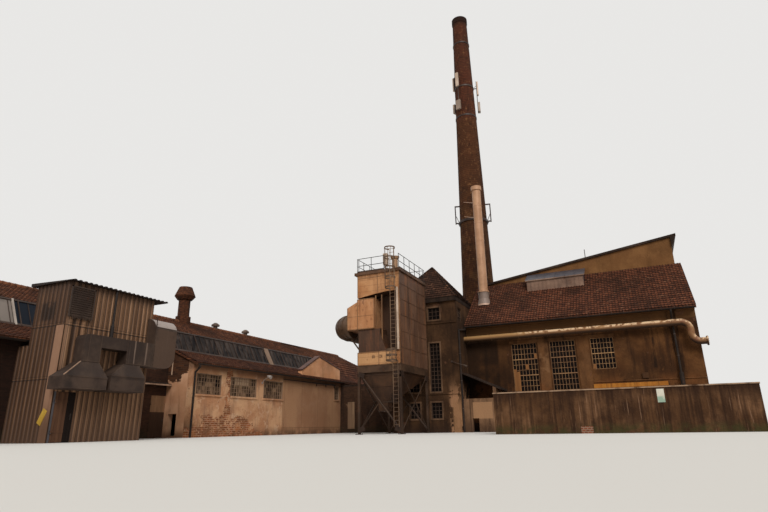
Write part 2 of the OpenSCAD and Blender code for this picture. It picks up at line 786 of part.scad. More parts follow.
// One side view of the hopper, from a to b with its mouth at m
module hopper_side(a, b, m) {
    polygon([
        [a, filter_bottom_h], [b, filter_bottom_h], [b, filter_bottom_h - hopper_skirt],
        [m + hopper_mouth / 2, hopper_out_h], [m - hopper_mouth / 2, hopper_out_h],
        [a, filter_bottom_h - hopper_skirt]
    ]);
}
module filter_hopper() {
    color("#8f7a5f") {
        intersection() {
            along_y([filter_y0 + leg_w, filter_y1 - leg_w])
                hopper_side(filter_x0 + leg_w, filter_x1 - leg_w, hopper_mid[0]);
            along_x([filter_x0 + leg_w, filter_x1 - leg_w])
                hopper_side(filter_y0 + leg_w, filter_y1 - leg_w, hopper_mid[1]);
        }
        // Valve box under the mouth, with its drive shaft
        block([hopper_mid[0] - valve_w / 2, hopper_mid[0] + valve_w / 2],
              [hopper_mid[1] - valve_w / 2, hopper_mid[1] + valve_w / 2],
              [hopper_out_h - valve_drop, hopper_out_h + 1]);
        translate([hopper_mid[0] + valve_w / 2 - 10, hopper_mid[1], hopper_out_h - valve_drop / 2])
            rotate([0, 90, 0]) cylinder(h = 130, d = 60);
    }
}
beam_h = 270;
brace_d = 70;
thin_brace_d = 36;
landing_x0 = filter_x0 + 985;
landing_z = [1120, 1150];
module filter_frame() {
    x = [filter_x0 + leg_w / 2, filter_x1 - leg_w / 2];
    y = [filter_y0 + leg_w / 2, filter_y1 - leg_w / 2];
    top = filter_bottom_h - beam_h;
    mid = [(x[0] + x[1]) / 2, (leg_w + top) / 2];
    color("#3c342e") {
        for (px = x, py = y)
            block([px - leg_w / 2, px + leg_w / 2], [py - leg_w / 2, py + leg_w / 2], [0, filter_bottom_h]);
        // Ring beams under the casing
        for (py = y)
            block([x[0], x[1]], [py - leg_w / 2 + 5, py + leg_w / 2 - 5], [top, filter_bottom_h]);
        for (px = x)
            block([px - leg_w / 2 + 5, px + leg_w / 2 - 5], [y[0], y[1]], [top, filter_bottom_h]);
        // Front and back: a full diagonal and a half one that meets it
        for (py = y) {
            bar([x[0], py, top], [x[1], py, leg_w], brace_d);
            bar([x[0], py, leg_w], [mid[0], py, mid[1]], thin_brace_d);
        }
        // Sides: crossed bars
        for (px = x) {
            bar([px, y[0], leg_w], [px, y[1], top], thin_brace_d);
            bar([px, y[0], top], [px, y[1], leg_w], thin_brace_d);
        }
        // Small landing in front of the hopper's mouth
        block([landing_x0, filter_x1 - leg_w + 1], [filter_y0, filter_y0 + leg_w - 10], landing_z);
    }
}
slab_out = [110, 60];
pot_x = -1135;
pot_y = filter_y0 + 250;
pot_d = 235;
pot_rim_d = 370;
pot_h = [445, 100];
rail_z = filter_top_h + slab_t;
module filter_roof_slab() {
    color("#4f4438") {
        block([filter_x0 - slab_out[0], filter_x1 + slab_out[1]],
              [filter_y0 - slab_out[1], filter_y1 + slab_out[1]], [filter_top_h, rail_z]);
        // Vent pot with a flared rim
        translate([pot_x, pot_y, rail_z - 1]) {
            cylinder(h = pot_h[0] + 2, d = pot_d);
            translate([0, 0, pot_h[0]]) cylinder(h = pot_h[1], d1 = pot_d + 60, d2 = pot_rim_d);
        }
    }
}
rail_d = 24;
rail_gap_x = filter_x1 - 630;
module rail_side(a, b, posts) {
    step = (b - a) / posts;
    for (i = [0:posts]) bar(a + i * step, a + i * step + [0, 0, rail_h], rail_d);
    for (h = [0.5, 1]) bar(a + [0, 0, h * rail_h - rail_d / 2], b + [0, 0, h * rail_h - rail_d / 2], rail_d);
}
module filter_railing() {
    color("#4a4038") {
        rail_side([filter_x0, filter_y0, rail_z], [filter_x0, filter_y1, rail_z], 5);
        rail_side([filter_x1, filter_y0, rail_z], [filter_x1, filter_y1, rail_z], 5);
        rail_side([filter_x0 + 60, filter_y0, rail_z], [rail_gap_x, filter_y0, rail_z], 2);
        rail_side([filter_x0 + 60, filter_y1, rail_z], [filter_x1 - 60, filter_y1, rail_z], 3);
    }
}
// Ladder: an upper run with a cage at its foot and at its head, and a lower run set to the right
ladder_x = filter_x1 - 350;
lower_ladder_x = ladder_x + 60;
ladder_y = filter_y0 - 90;
ladder_z = [2560, rail_z + rail_h + 220];
lower_ladder_z = [250, 2600];
rung_pitch = 150;
stile_d = 26;
rung_d = 16;
cage_z = [[2570, 3010], [5345, rail_z + rail_h + 200]];
cage_hoops = [3, 5];
hoop_strap = [10, 50];
module ladder_run(x, z) {
    for (px = [x, x + ladder_w]) bar([px, ladder_y, z[0]], [px, ladder_y, z[1]], stile_d);
    for (pz = [z[0] + rung_pitch / 2:rung_pitch:z[1] - rung_d])
        bar([x, ladder_y, pz], [x + ladder_w, ladder_y, pz], rung_d);
}
module cage(z, hoops) {
    middle_x = ladder_x + ladder_w / 2;
    reach = sqrt(pow(cage_d / 2, 2) - pow(ladder_w / 2, 2));
    middle_y = ladder_y - reach;
    step = (z[1] - z[0] - hoop_strap[1]) / (hoops - 1);
    for (i = [0:hoops - 1])
        difference() {
            translate([middle_x, middle_y, z[0] + i * step])
                rotate_extrude() translate([cage_d / 2 - hoop_strap[0], 0]) square(hoop_strap);
            block([middle_x - cage_d, middle_x + cage_d],
                  [ladder_y - stile_d / 2 - seat, ladder_y + cage_d], [z[0] - 1, z[1] + 1]);
        }
    for (a = [200, 235, 270, 305, 340])
        translate([middle_x + (cage_d / 2 - 5) * cos(a), middle_y + (cage_d / 2 - 5) * sin(a), z[0]])
            cylinder(h = z[1] - z[0], d = rung_d);
}
module filter_ladder() {
    color("#6d5a48") {
        ladder_run(ladder_x, ladder_z);
        ladder_run(lower_ladder_x, lower_ladder_z);
        // A step that joins both runs, and the lugs on the casing
        block([ladder_x - 20, lower_ladder_x + ladder_w + 20],
              [ladder_y - stile_d / 2, ladder_y + 15], [2560, 2600]);
        for (z = [2700, 5700], x = [ladder_x, ladder_x + ladder_w])
            bar([x, ladder_y, z], [x, filter_y0, z], rung_d);
    }
}
module ladder_cages() {
    color("#6d5a48") for (i = [0:1]) cage(cage_z[i], cage_hoops[i]);
}

// Link block
link_x1 = -1000;
link_roof_t = 100;
link_board = [[-7460, -7033], [195, 1590]];
module link_walls() {
    color("#5a4a40") {
        difference() {
            union() {
                block([hall_front_x, link_x1], [link_y0, link_y1], [0, link_h]);
                block([stair_x0, link_x1], [stair_y1, link_y1], [0, link_h]);
            }
            block([hall_front_x - 1, link_x1 - wall], [link_y0 + wall, link_y1 - wall], [-1, link_h + 1]);
            block([stair_x0 + wall, link_x1 - wall], [stair_y1 - 1, link_y1 - wall], [-1, link_h + 1]);
        }
        // Pale boarded panel on the front
        block(link_board[0], [link_y0 - 25, link_y0 + 1], link_board[1]);
    }
}
module link_roof() {
    color("#453a34") {
        block([hall_front_x, link_x1], [link_y0, link_y1], [link_h, link_h + link_roof_t]);
        block([stair_x0, link_x1], [stair_y1, link_y0], [link_h, link_h + link_roof_t]);
    }
}

// Production hall
hall_in = hall_front_x - wall;
function under_hall(x) = hall_roof_z(x) - hall_roof_t - seat;
module front_section(y) {
    along_y(y)
        polygon([
            [hall_front_x, 0], [hall_front_x, under_hall(hall_front_x)],
            [hall_in, under_hall(hall_in)], [hall_in, 0]
        ]);
}
module hall_south_wall() {
    color("#7a5a44") front_section([hall_y0, recess_y0]);
}
// Each window: its two ends along Y, then its sill and its head
hall_windows_at = [
    [[-11530, -10165], [hall_sill_h, hall_window_top]],
    [[-9625, -7950], [hall_sill_h, hall_window_top]],
    [[-7450, -6025], [hall_sill_h, hall_window_top]],
    [[-1300, -790], [hall_sill_h + 160, hall_window_top + 90]]
];
sill_t = 60;
sill_out = 45;
module hall_front_wall() {
    color("#c9b08a") {
        difference() {
            front_section([recess_y1, hall_y1]);
            for (w = hall_windows_at) block([hall_in - 1, hall_front_x + 1], w[0], w[1]);
        }
        for (w = hall_windows_at)
            block([hall_front_x - 1, hall_front_x + sill_out], [w[0][0] - 40, w[0][1] + 40],
                  [w[1][0] - sill_t, w[1][0]]);
    }
}
passage_y = [recess_y1 - passage_door_w, recess_y1];
module recess_section(y) {
    along_y(y)
        polygon([
            [recess_x, 0], [recess_x, under_hall(recess_x)],
            [glazing_high_x, under_hall(glazing_high_x)],
            [recess_x - wall, under_hall(recess_x - wall)], [recess_x - wall, 0]
        ]);
}
module hall_recess_wall() {
    color("#b39a78") {
        recess_section([recess_y0, passage_y[0]]);
        hinge_pins(recess_x, passage_y[0], passage_door_h);
    }
}
module passage_lintel() {
    color("#b39a78")
        difference() {
            recess_section(passage_y);
            block([recess_x - wall - 1, recess_x + 1], [passage_y[0] - 1, passage_y[1] + 1],
                  [-1, passage_door_h]);
        }
}
module return_section(y) {
    along_y(y)
        polygon([
            [hall_in, 0], [hall_in, under_hall(hall_in)],
            [glazing_low_x, under_hall(glazing_low_x)], [glazing_high_x, under_hall(glazing_high_x)],
            [recess_x - wall, under_hall(recess_x - wall)], [recess_x - wall, 0]
        ]);
}
hatch_x = [-9000, -8570];
hatch_z = [60, 840];
module hall_return_walls() {
    color("#c9b08a") {
        return_section([recess_y0 - wall, recess_y0]);
        difference() {
            return_section([recess_y1, recess_y1 + wall]);
            block(hatch_x, [recess_y1 - 1, recess_y1 + wall + 1], hatch_z);
        }
    }
}
module hall_gable(y) {
    under = lowered(hall_outline, hall_roof_t + seat);
    along_y(y)
        polygon(concat(
            [[hall_in, 0], [hall_in, under_hall(hall_in)]],
            [for (i = [1:5]) under[i]],
            [[hall_back_x + wall, under_hall(hall_back_x + wall)], [hall_back_x + wall, 0]]));
}
module hall_rear_walls() {
    color("#7a5a44") {
        difference() {
            along_y([hall_y0, hall_y1])
                polygon([
                    [hall_back_x, 0], [hall_back_x, under_hall(hall_back_x)],
                    [hall_back_x + wall, under_hall(hall_back_x + wall)], [hall_back_x + wall, 0]
                ]);
            // The rear windows mirror the three large front ones
            for (i = [0:2])
                block([hall_back_x - 1, hall_back_x + wall + 1], hall_windows_at[i][0], hall_windows_at[i][1]);
        }
        hall_gable([hall_y0, hall_y0 + wall]);
        hall_gable([hall_y1 - wall, hall_y1]);
    }
}
module ground_floors() {
    color("#6e665c") {
        difference() {
            block([hall_back_x + wall, hall_in], [hall_y0 + wall, hall_y1 - wall], [0, floor_t]);
            block([recess_x - wall, hall_in + 1], [recess_y0 - wall, recess_y1 + wall], [-1, floor_t + 1]);
        }
        block([boiler_x0 + wall, boiler_x1 - wall], [facade_y + wall, party_y], [0, floor_t]);
    }
}
module hall_tiled_roof() {
    color("#7a4632") {
        // Lower strips on both sides of the recess
        for (y = [[hall_y0, recess_y0], [recess_y1 - 75, hall_y1]])
            along_y(y) roof_strip(hall_line[0], hall_line[1], hall_roof_t);
        along_y([hall_y0, hall_y1])
            roof_strip(other_side(hall_line[0]), other_side(hall_line[1]), hall_roof_t);
        // Steep tiled strip past the end of the front glazing
        along_y([glazing_end_y, hall_y1]) roof_strip(hall_line[1], hall_line[2], hall_roof_t);
        along_y([hall_y0, hall_y1])
            polygon([
                hall_line[2], hall_line[3], other_side(hall_line[2]),
                other_side(hall_line[2]) - [0, hall_roof_t], hall_line[3] - [0, hall_roof_t],
                hall_line[2] - [0, hall_roof_t]
            ]);
    }
}
module hall_glazing() {
    color("#7f8790") {
        along_y([hall_y0, glazing_end_y]) roof_strip(hall_line[1], hall_line[2], hall_roof_t);
        along_y([hall_y0, hall_y1])
            roof_strip(other_side(hall_line[1]), other_side(hall_line[2]), hall_roof_t);
    }
}
module hall_windows() {
    color("#5d5447") {
        for (w = hall_windows_at)
            block([hall_front_x - window_set - window_t, hall_front_x - window_set], w[0], w[1]);
        for (i = [0:2])
            block([hall_back_x + window_set, hall_back_x + window_set + window_t],
                  hall_windows_at[i][0], hall_windows_at[i][1]);
    }
}
module above_hall_roof() {
    difference() {
        children();
        along_y([hall_y0 - 10, hall_y1 + 10])
            polygon(concat(lowered(hall_outline, -seat),
                           [[hall_back_x - 300, -10], [hall_front_x + 300, -10]]));
    }
}
// Cross gable: a parapet wall on the front wall, its top as points along Y, and the coping on it
gable_line = [[-4450, 3000], [-2900, 3795], [-700, 3315]];
coping_t = 60;
coping_out = 30;
module cross_gable() {
    color("#c9b08a")
        above_hall_roof()
            along_x([hall_in, hall_front_x])
                polygon(concat([[gable_line[0][0], hall_eave_h - 600]], gable_line,
                               [[gable_line[2][0], hall_eave_h - 600]]));
}
module gable_coping() {
    left_slope = (gable_line[1][1] - gable_line[0][1]) / (gable_line[1][0] - gable_line[0][0]);
    right_slope = (gable_line[1][1] - gable_line[2][1]) / (gable_line[2][0] - gable_line[1][0]);
    line = lowered([
        gable_line[0] - coping_out * [1, left_slope], gable_line[1],
        gable_line[2] + coping_out * [1, -right_slope]
    ], -seat);
    color("#8d7a66")
        above_hall_roof()
            along_x([hall_in - coping_out, hall_front_x + coping_out])
                polygon(concat(line, reversed(lowered(line, -coping_t))));
}

// Gutters and downpipes
gutter_d = 110;
downpipe_x = 8480;
downpipe_d = 80;
downpipe_set = 110;
stack_pipe_z = [1560, 2000];
corner_pipe_d = 75;
outlet_drop = 100;
front_knee_h = 3980;
corner_knee_h = 4100;
hall_knee_h = 2320;
// A downpipe: from its outlet under the gutter over to the wall, then down to the ground
module downpipe(outlet, foot, knee_z, d) {
    knee = outlet - [0, 0, outlet_drop];
    translate(knee) cylinder(h = outlet_drop, d = d);
    bar(knee + [0, 0, d / 4], [foot[0], foot[1], knee_z], d);
    translate([foot[0], foot[1], 0]) cylinder(h = knee_z + d / 4, d = d);
}
module rain_gutters() {
    gutter_y = boiler_eave_y - gutter_d / 2 - seat;
    gutter_z = boiler_eave_h - tile_t / 2;
    hall_gutter_x = hall_eave_x + gutter_d / 2 + seat;
    hall_gutter_z = hall_eave_h - hall_roof_t / 2;
    pipe_line_y = facade_y - downpipe_set;
    corner_x = boiler_x0 + 5 + downpipe_d / 2;
    corner_y = annex_y0 - 5 - downpipe_d / 2;
    hall_pipe = [hall_front_x + 15 + corner_pipe_d / 2, recess_y1 + 60];
    color("#6f6a62") {
        // Boiler house: gutter, and a pipe at each end
        along_x([boiler_x0, boiler_x0 + boiler_len]) translate([gutter_y, gutter_z]) gutter_section(gutter_d);
        downpipe([downpipe_x, gutter_y, gutter_z - gutter_d / 2 + 10], [downpipe_x, pipe_line_y],
                 front_knee_h, downpipe_d);
        translate([downpipe_x, pipe_line_y, stack_pipe_z[0]])
            cylinder(h = stack_pipe_z[1] - stack_pipe_z[0], d = downpipe_d + 70);
        downpipe([corner_x, gutter_y, gutter_z - gutter_d / 2 + 10], [corner_x, corner_y],
                 corner_knee_h, downpipe_d);
        // Hall: gutters on both sides of the recess and the pipe at the corner
        for (y = [[hall_y0, recess_y0], [recess_y1, link_y0]])
            translate([hall_gutter_x, y[1], hall_gutter_z]) rotate([90, 0, 0])
                linear_extrude(y[1] - y[0]) gutter_section(gutter_d);
        downpipe([hall_gutter_x, hall_pipe[1], hall_gutter_z - gutter_d / 2 + 8], hall_pipe,
                 hall_knee_h, corner_pipe_d);
    }
}

// Octagonal stack and two round vents on the ridge
stack_y = -9530;
stack_neck_d = 500;
stack_base_d = 640;
stack_neck_h = 5825;
stack_head_h = 5985;
stack_top_h = 6400;
stack_head_d = 900;
module ridge_stack() {
    color("#6a4636")
        above_hall_roof()
            translate([ridge_x, stack_y, 0]) {
                translate([0, 0, hall_ridge_h - 300]) cylinder(h = 560, d = stack_base_d, $fn = 8);
                translate([0, 0, hall_ridge_h - 300])
                    cylinder(h = stack_neck_h - hall_ridge_h + 301, d = stack_neck_d, $fn = 8);
                translate([0, 0, stack_neck_h])
                    cylinder(h = stack_head_h - stack_neck_h, d1 = stack_neck_d + 140, d2 = stack_head_d);
                translate([0, 0, stack_head_h])
                    cylinder(h = stack_top_h - stack_head_h, d1 = stack_head_d, d2 = stack_neck_d + 60);
            }
}
vents_y = [-7450, -5240];
vent_neck_d = 200;
vent_cap_d = 380;
vent_h = [260, 70, 90];
module ridge_vents() {
    color("#b0aaa2")
        above_hall_roof()
            for (y = vents_y)
                translate([ridge_x, y, hall_ridge_h - 100]) {
                    cylinder(h = vent_h[0] + 1, d = vent_neck_d);
                    translate([0, 0, vent_h[0]]) cylinder(h = vent_h[1], d = vent_cap_d);
                    translate([0, 0, vent_h[0] + vent_h[1]])
                        cylinder(h = vent_h[2], d1 = vent_cap_d, d2 = vent_neck_d - 60);
                }
}
lean_to_z = [1985, 1910];
lean_to_reach = 260;
lean_to_t = 50;
module lean_to_roof() {
    color("#5a463c")
        along_y([recess_y0, recess_y1])
            roof_strip([recess_x, lean_to_z[0]], [recess_x + lean_to_reach, lean_to_z[1]], lean_to_t);
}

// Corrugated tower
sheet_t = 8;
module corrugated(length, height, depth) {
    ribs = floor(length / rib_pitch);
    pitch = length / ribs;
    top = [for (i = [0:ribs - 1], p = [[0, 0], [0.3, 0], [0.5, 1], [0.8, 1]])
        [(i + p[0]) * pitch, p[1] * depth]];
    outer = concat(top, [[length, 0]]);
    linear_extrude(height)
        polygon(concat(outer, [[length, -sheet_t], [0, -sheet_t]]));
}
post_w = 60;
tower_step_h = 2450;
tower_step_d = 425;
tower_back_x = hall_front_x + tower_step_d;
door_y = [tower_y0 + sheet_t + post_w, tower_y0 + sheet_t + post_w + tower_door_w];
module tower_front_sheets() {
    color("#a58a6b") {
        translate([tower_x1, door_y[1], 0])
            rotate([0, 0, 90]) mirror([0, 1, 0])
                corrugated(tower_y1 - sheet_t - door_y[1], tower_h, rib_depth);
        translate([tower_x1, tower_y0 + sheet_t, tower_door_h])
            rotate([0, 0, 90]) mirror([0, 1, 0])
                corrugated(door_y[1] - 2 - tower_y0 - sheet_t, tower_h - tower_door_h, rib_depth);
    }
}
corner_trim_w = 290;
corner_trim_h = 2900;
corner_trim_t = 4;
module tower_side_sheets() {
    color("#a58a6b")
        difference() {
            union() {
                translate([tower_x1, tower_y0, 0]) rotate([0, 0, 180]) corrugated(tower_d, tower_h, rib_depth);
                translate([hall_front_x, tower_y1, 0]) corrugated(tower_d, tower_h, rib_depth);
                // Smooth corner sheet over the ribs
                block([tower_x1 - corner_trim_w, tower_x1],
                      [tower_y0 - rib_depth - corner_trim_t, tower_y0 - rib_depth / 2], [0, corner_trim_h]);
            }
            block([hall_front_x - 1, tower_back_x], [tower_y0 - 100, tower_y1 + 100],
                  [tower_step_h, tower_h + 1]);
        }
}
module tower_frame() {
    color("#5a4c40") {
        for (x = [tower_x1 - sheet_t - post_w, tower_back_x],
             y = [tower_y0 + sheet_t, tower_y1 - sheet_t - post_w])
            block([x, x + post_w], [y, y + post_w], [0, tower_h]);
        // Jamb of the doorway
        block([tower_x1 - sheet_t - post_w, tower_x1 - sheet_t],
              [door_y[1] + 1, door_y[1] + post_w], [0, tower_h]);
        hinge_pins(tower_x1 - sheet_t, door_y[0], tower_door_h);
    }
}
// Roof: a thin wedge of battens with a ribbed sheet on it that runs past the right end
tower_roof_y = [tower_y0 - 100, tower_y1 + 400];
tower_roof_x = [tower_back_x - 200, tower_x1 + 120];
tower_roof_edge = [15, 85];
roof_rib_depth = 30;
lid_t = 20;
module tower_roof() {
    reach = tower_roof_x[1] - tower_roof_x[0];
    tilt = atan((tower_roof_edge[1] - tower_roof_edge[0]) / reach);
    color("#4a3c34") {
        along_y(tower_roof_y)
            polygon([
                [tower_roof_x[1], tower_h], [tower_roof_x[1], tower_h + tower_roof_edge[0]],
                [tower_roof_x[0], tower_h + tower_roof_edge[1]], [tower_roof_x[0], tower_h]
            ]);
        translate([tower_roof_x[0], tower_roof_y[0], tower_h + tower_roof_edge[1]])
            rotate([0, tilt, 0]) rotate([90, 0, 90])
                corrugated(tower_roof_y[1] - tower_roof_y[0], reach + 25, roof_rib_depth);
        // Back of the upper part and the lid over the lower part
        block([tower_back_x - lid_t, tower_back_x], [tower_y0 + sheet_t, tower_y1 - sheet_t],
              [tower_step_h + lid_t, tower_h - 1]);
        block([hall_front_x, tower_back_x], [tower_y0 - rib_depth, tower_y1 + rib_depth],
              [tower_step_h, tower_step_h + lid_t]);
    }
}
louvre_y = [-18140, -17540];
louvre_z = [3150, 3900];
module tower_louvre() {
    color("#2f2925")
        block([tower_x1 + rib_depth, tower_x1 + rib_depth + 30], louvre_y, louvre_z);
}
// Duct on the front: two boxes over the hoods, a bridge between them and a riser back to the hall
duct_x = [tower_x1 + rib_depth, tower_x1 + 400];
duct_top = 2690;
duct_low = 2015;
box_left_y = [-17855, -17360];
box_right_y = [-16520, -15600];
bridge_low = 2375;
riser_y = [-15601, -14785];
run_back_y = [tower_y1 + rib_depth + 7, riser_y[1]];
run_back_z = [2800, 3480];
vent_pipe_y = -16850;
vent_pipe_d = 60;
module exhaust_duct() {
    glass_lean = (glazing_high_x - glazing_low_x) / (glazing_high_h - glazing_low_h);
    ends = [for (z = run_back_z) glazing_low_x + glass_lean * (z - glazing_low_h) + 2];
    riser_r = duct_x[1] - duct_x[0] - 2;
    color("#6a6058") {
        along_x(duct_x) {
            soft_box(box_left_y, [duct_low - 45, duct_top], 150, [0, 1]);
            translate([box_left_y[1] - 1, bridge_low])
                square([box_right_y[0] - box_left_y[1] + 2, duct_top - bridge_low]);
            translate([box_right_y[0], duct_low])
                square([riser_y[0] - box_right_y[0] + 2, duct_top - duct_low]);
        }
        intersection() {
            along_x([duct_x[0], duct_x[1]])
                soft_box(riser_y, [duct_low, run_back_z[1]], 380, [1, 0]);
            along_y(riser_y)
                soft_box(duct_x, [duct_low, run_back_z[1]], riser_r, [1, 1]);
        }
        along_y(run_back_y)
            polygon([
                [duct_x[0] + 1, run_back_z[0]], [duct_x[0] + 1, run_back_z[1]],
                [ends[1], run_back_z[1]], [ends[0], run_back_z[0]]
            ]);
        translate([duct_x[0] + vent_pipe_d, vent_pipe_y, bridge_low + 100])
            cylinder(h = tower_h - 10 - bridge_low - 100, d = vent_pipe_d);
    }
}
hood_x = [duct_x[0], duct_x[0] + 580];
hood_low = 1265;
// A hood: its upright lip, then four sides that close in to the box above
module hood(y, lip, mouth_y, top) {
    intersection() {
        along_x(hood_x)
            polygon([
                [y[0], hood_low], [y[0], lip], [mouth_y[0], top], [mouth_y[1], top],
                [y[1], lip], [y[1], hood_low]
            ]);
        along_y(y)
            polygon([
                [hood_x[0], hood_low], [hood_x[0], top], [duct_x[1], top],
                [hood_x[1], lip], [hood_x[1], hood_low]
            ]);
    }
}
module exhaust_hoods() {
    color("#6a6058") {
        hood([-18410, -17200], 1570, box_left_y, duct_low - 45);
        hood([-17100, -15990], 1660, [box_right_y[0] - 60, -16070], duct_low);
    }
}

// Hung doors: the leaf lies behind the plane x, the pins stand in front of it at the low-y side
pin_out = 22;
pin_play = 0.3;
bracket_h = 12;
knuckle_h = 60;
hinge_z = [0.18, 0.78];
module hinge_pins(x, y, h) {
    for (f = hinge_z) {
        z = f * h;
        block([x - 6, x + 12], [y - 34, y - 4], [z, z + bracket_h]);
        block([x + 10, x + pin_out + pin_d / 2 + 2], [y - 34, y + door_gap + pin_d / 2], [z, z + bracket_h]);
        translate([x + pin_out, y + door_gap, z]) cylinder(h = bracket_h + knuckle_h + 6, d = pin_d);
    }
}
module hung_leaf(x, y, h) {
    block([x - leaf_t, x], [y[0] + door_gap, y[1] - door_gap], [door_gap, h - door_gap]);
    difference() {
        for (f = hinge_z) {
            z = f * h + bracket_h + pin_play;
            block([x, x + pin_out - pin_d / 2 - 1], [y[0] + door_gap, y[1] - 60], [z, z + knuckle_h]);
            translate([x + pin_out, y[0] + door_gap, z]) cylinder(h = knuckle_h, d = pin_d + 16);
        }
        translate([x + pin_out, y[0] + door_gap, 0]) cylinder(h = h, d = pin_d + 2 * pin_play);
    }
}
module tower_door() {
    color("#4d3a2c") hung_leaf(tower_x1 - sheet_t, door_y, tower_door_h);
}
module passage_door() {
    color("#8a7458") hung_leaf(recess_x, passage_y, passage_door_h);
}

// Yard wall
yard_x0 = 3220;
yard_y0 = -11600;
yard_x1 = yard_x0 + yard_len;
yard_coping_h = 40;
yard_coping_out = 15;
module yard_walls() {
    color("#6f6154") {
        block([yard_x0, yard_x1], [yard_y0, yard_y0 + yard_t], [0, yard_h]);
        block([yard_x0 - yard_coping_out, yard_x1 + yard_coping_out],
              [yard_y0 - yard_coping_out, yard_y0 + yard_t + yard_coping_out],
              [yard_h - yard_coping_h, yard_h]);
        // Returns to the facade on the left and round its corner on the right
        block([yard_x0, yard_x0 + yard_t], [yard_y0, facade_y], [0, yard_h]);
        block([yard_x1 - yard_t, yard_x1], [yard_y0, facade_y + yard_t], [0, yard_h]);
        block([boiler_x1, yard_x1], [facade_y, facade_y + yard_t], [0, yard_h]);
    }
}

chimney_base();
chimney_shaft();
chimney_hoops();
aerial_frame();
steel_flue();
boiler_front_wall();
boiler_gable_walls();
party_wall();
boiler_roof();
boiler_windows();
facade_board();
roof_monitor();
steam_pipe();
rain_gutters();
rear_hall_walls();
rear_hall_roof();
stair_front_wall();
stair_rear_walls();
stair_tower_roof();
stair_windows();
annex_walls();
annex_roof();
filter_casing();
filter_intake();
filter_duct();
filter_hopper();
filter_frame();
filter_roof_slab();
filter_railing();
filter_ladder();
ladder_cages();
link_walls();
link_roof();
hall_south_wall();
hall_recess_wall();
passage_lintel();
hall_return_walls();
hall_front_wall();
hall_rear_walls();
ground_floors();
hall_tiled_roof();
hall_glazing();
hall_windows();
cross_gable();
gable_coping();
ridge_stack();
ridge_vents();
lean_to_roof();
tower_front_sheets();
tower_side_sheets();
tower_frame();
tower_roof();
tower_louvre();
exhaust_duct();
exhaust_hoods();
tower_door();
passage_door();
yard_walls();
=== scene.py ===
# %% [markdown]
# The old factory at 1:2
# The walls, roofs, chimney and steelwork come from the CAD model. Blender gives them weathered finishes and
# adds what is too fine for the solids: window bars, tiles, seams, louvres, lamps and bare plates.
# Every size is in metres at model scale, so a brick of 250 mm is 0.125 m here.

# %% Load the frame
import json
import math

import bmesh
import bpy
from mathutils import Matrix, Vector


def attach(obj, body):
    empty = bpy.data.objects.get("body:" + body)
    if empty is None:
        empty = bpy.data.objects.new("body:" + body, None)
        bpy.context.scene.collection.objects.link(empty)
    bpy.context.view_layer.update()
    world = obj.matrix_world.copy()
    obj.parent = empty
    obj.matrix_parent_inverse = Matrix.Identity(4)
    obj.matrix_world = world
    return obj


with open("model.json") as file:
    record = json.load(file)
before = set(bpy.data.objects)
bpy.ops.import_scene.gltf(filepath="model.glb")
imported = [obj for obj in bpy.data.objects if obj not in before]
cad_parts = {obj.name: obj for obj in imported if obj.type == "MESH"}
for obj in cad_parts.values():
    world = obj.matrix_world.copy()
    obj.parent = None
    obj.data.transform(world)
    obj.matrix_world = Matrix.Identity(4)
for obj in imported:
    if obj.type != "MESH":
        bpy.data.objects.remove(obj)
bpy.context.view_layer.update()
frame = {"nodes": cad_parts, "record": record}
nodes = frame["nodes"]
print("loaded", len(nodes), "CAD nodes")

# %% [markdown]
# The photograph was taken from low in front of the factory, looking up. The camera's turn, lift and roll
# were found from the lines of the walls, which meet in three points far away.

# %% Camera
YAW, LIFT, ROLL = (math.radians(a) for a in (24.664, 17.662, -0.9654))
EYE = (7.07, -27.25, 0.225)
LENS_MM, FILM_MM, SIGHT = 25.3, 36, 500
ahead = Vector((-math.sin(YAW) * math.cos(LIFT), math.cos(YAW) * math.cos(LIFT), math.sin(LIFT)))
level = Vector((math.cos(YAW), math.sin(YAW), 0))
upward = level.cross(ahead)
right = math.cos(ROLL) * level + math.sin(ROLL) * upward
top = math.cos(ROLL) * upward - math.sin(ROLL) * level
scene = bpy.context.scene
camera = bpy.data.objects.new("camera", bpy.data.cameras.new("camera"))
camera.data.lens, camera.data.sensor_width, camera.data.clip_end = LENS_MM, FILM_MM, SIGHT
camera.matrix_world = Matrix.Translation(EYE) @ Matrix((right, top, -ahead)).transposed().to_4x4()
scene.collection.objects.link(camera)
scene.camera = camera
scene.view_settings.view_transform = "Standard"
print("camera looks along", tuple(round(c, 3) for c in ahead))

# %% [markdown]
# A colour is written in sRGB as six hex digits, and one function turns it to the linear light that
# Blender calculates with. Another adds one node with its settings and links.

# %% Colours and nodes
def paint(code):
    parts = [int(code[i:i + 2], 16) / 255 for i in (1, 3, 5)]
    return tuple(c / 12.92 if c <= 0.04045 else ((c + 0.055) / 1.055) ** 2.4 for c in parts) + (1,)


def wire(m, node, inputs):
    # Inputs go by name or in order, and a node that is given as a value stands for its first output
    for key, value in inputs.items() if isinstance(inputs, dict) else enumerate(inputs):
        if isinstance(value, bpy.types.Node):
            value = value.outputs[0]
        if isinstance(value, bpy.types.NodeSocket):
            m.node_tree.links.new(value, node.inputs[key])
        else:
            node.inputs[key].default_value = paint(value) if isinstance(value, str) else value
    return node


def add(m, kind, inputs=None, **settings):
    node = m.node_tree.nodes.new("ShaderNode" + kind)
    for key, value in settings.items():
        setattr(node, key, value)
    return wire(m, node, inputs or {})


print("a brick red in linear light:", [round(c, 3) for c in paint("#6b3a27")])

# %% [markdown]
# Soft blotches come from a noise. Runs of water and soot are the same noise squeezed in height, so that it
# draws out into upright streaks. Dirt of one place fades in along an axis. Dust that lies on what looks
# upward, and painted light and shade that follow which way a surface faces, fade in along its slope.

# %% Masks
RUNS = (1.2, 1.2, 0.13)


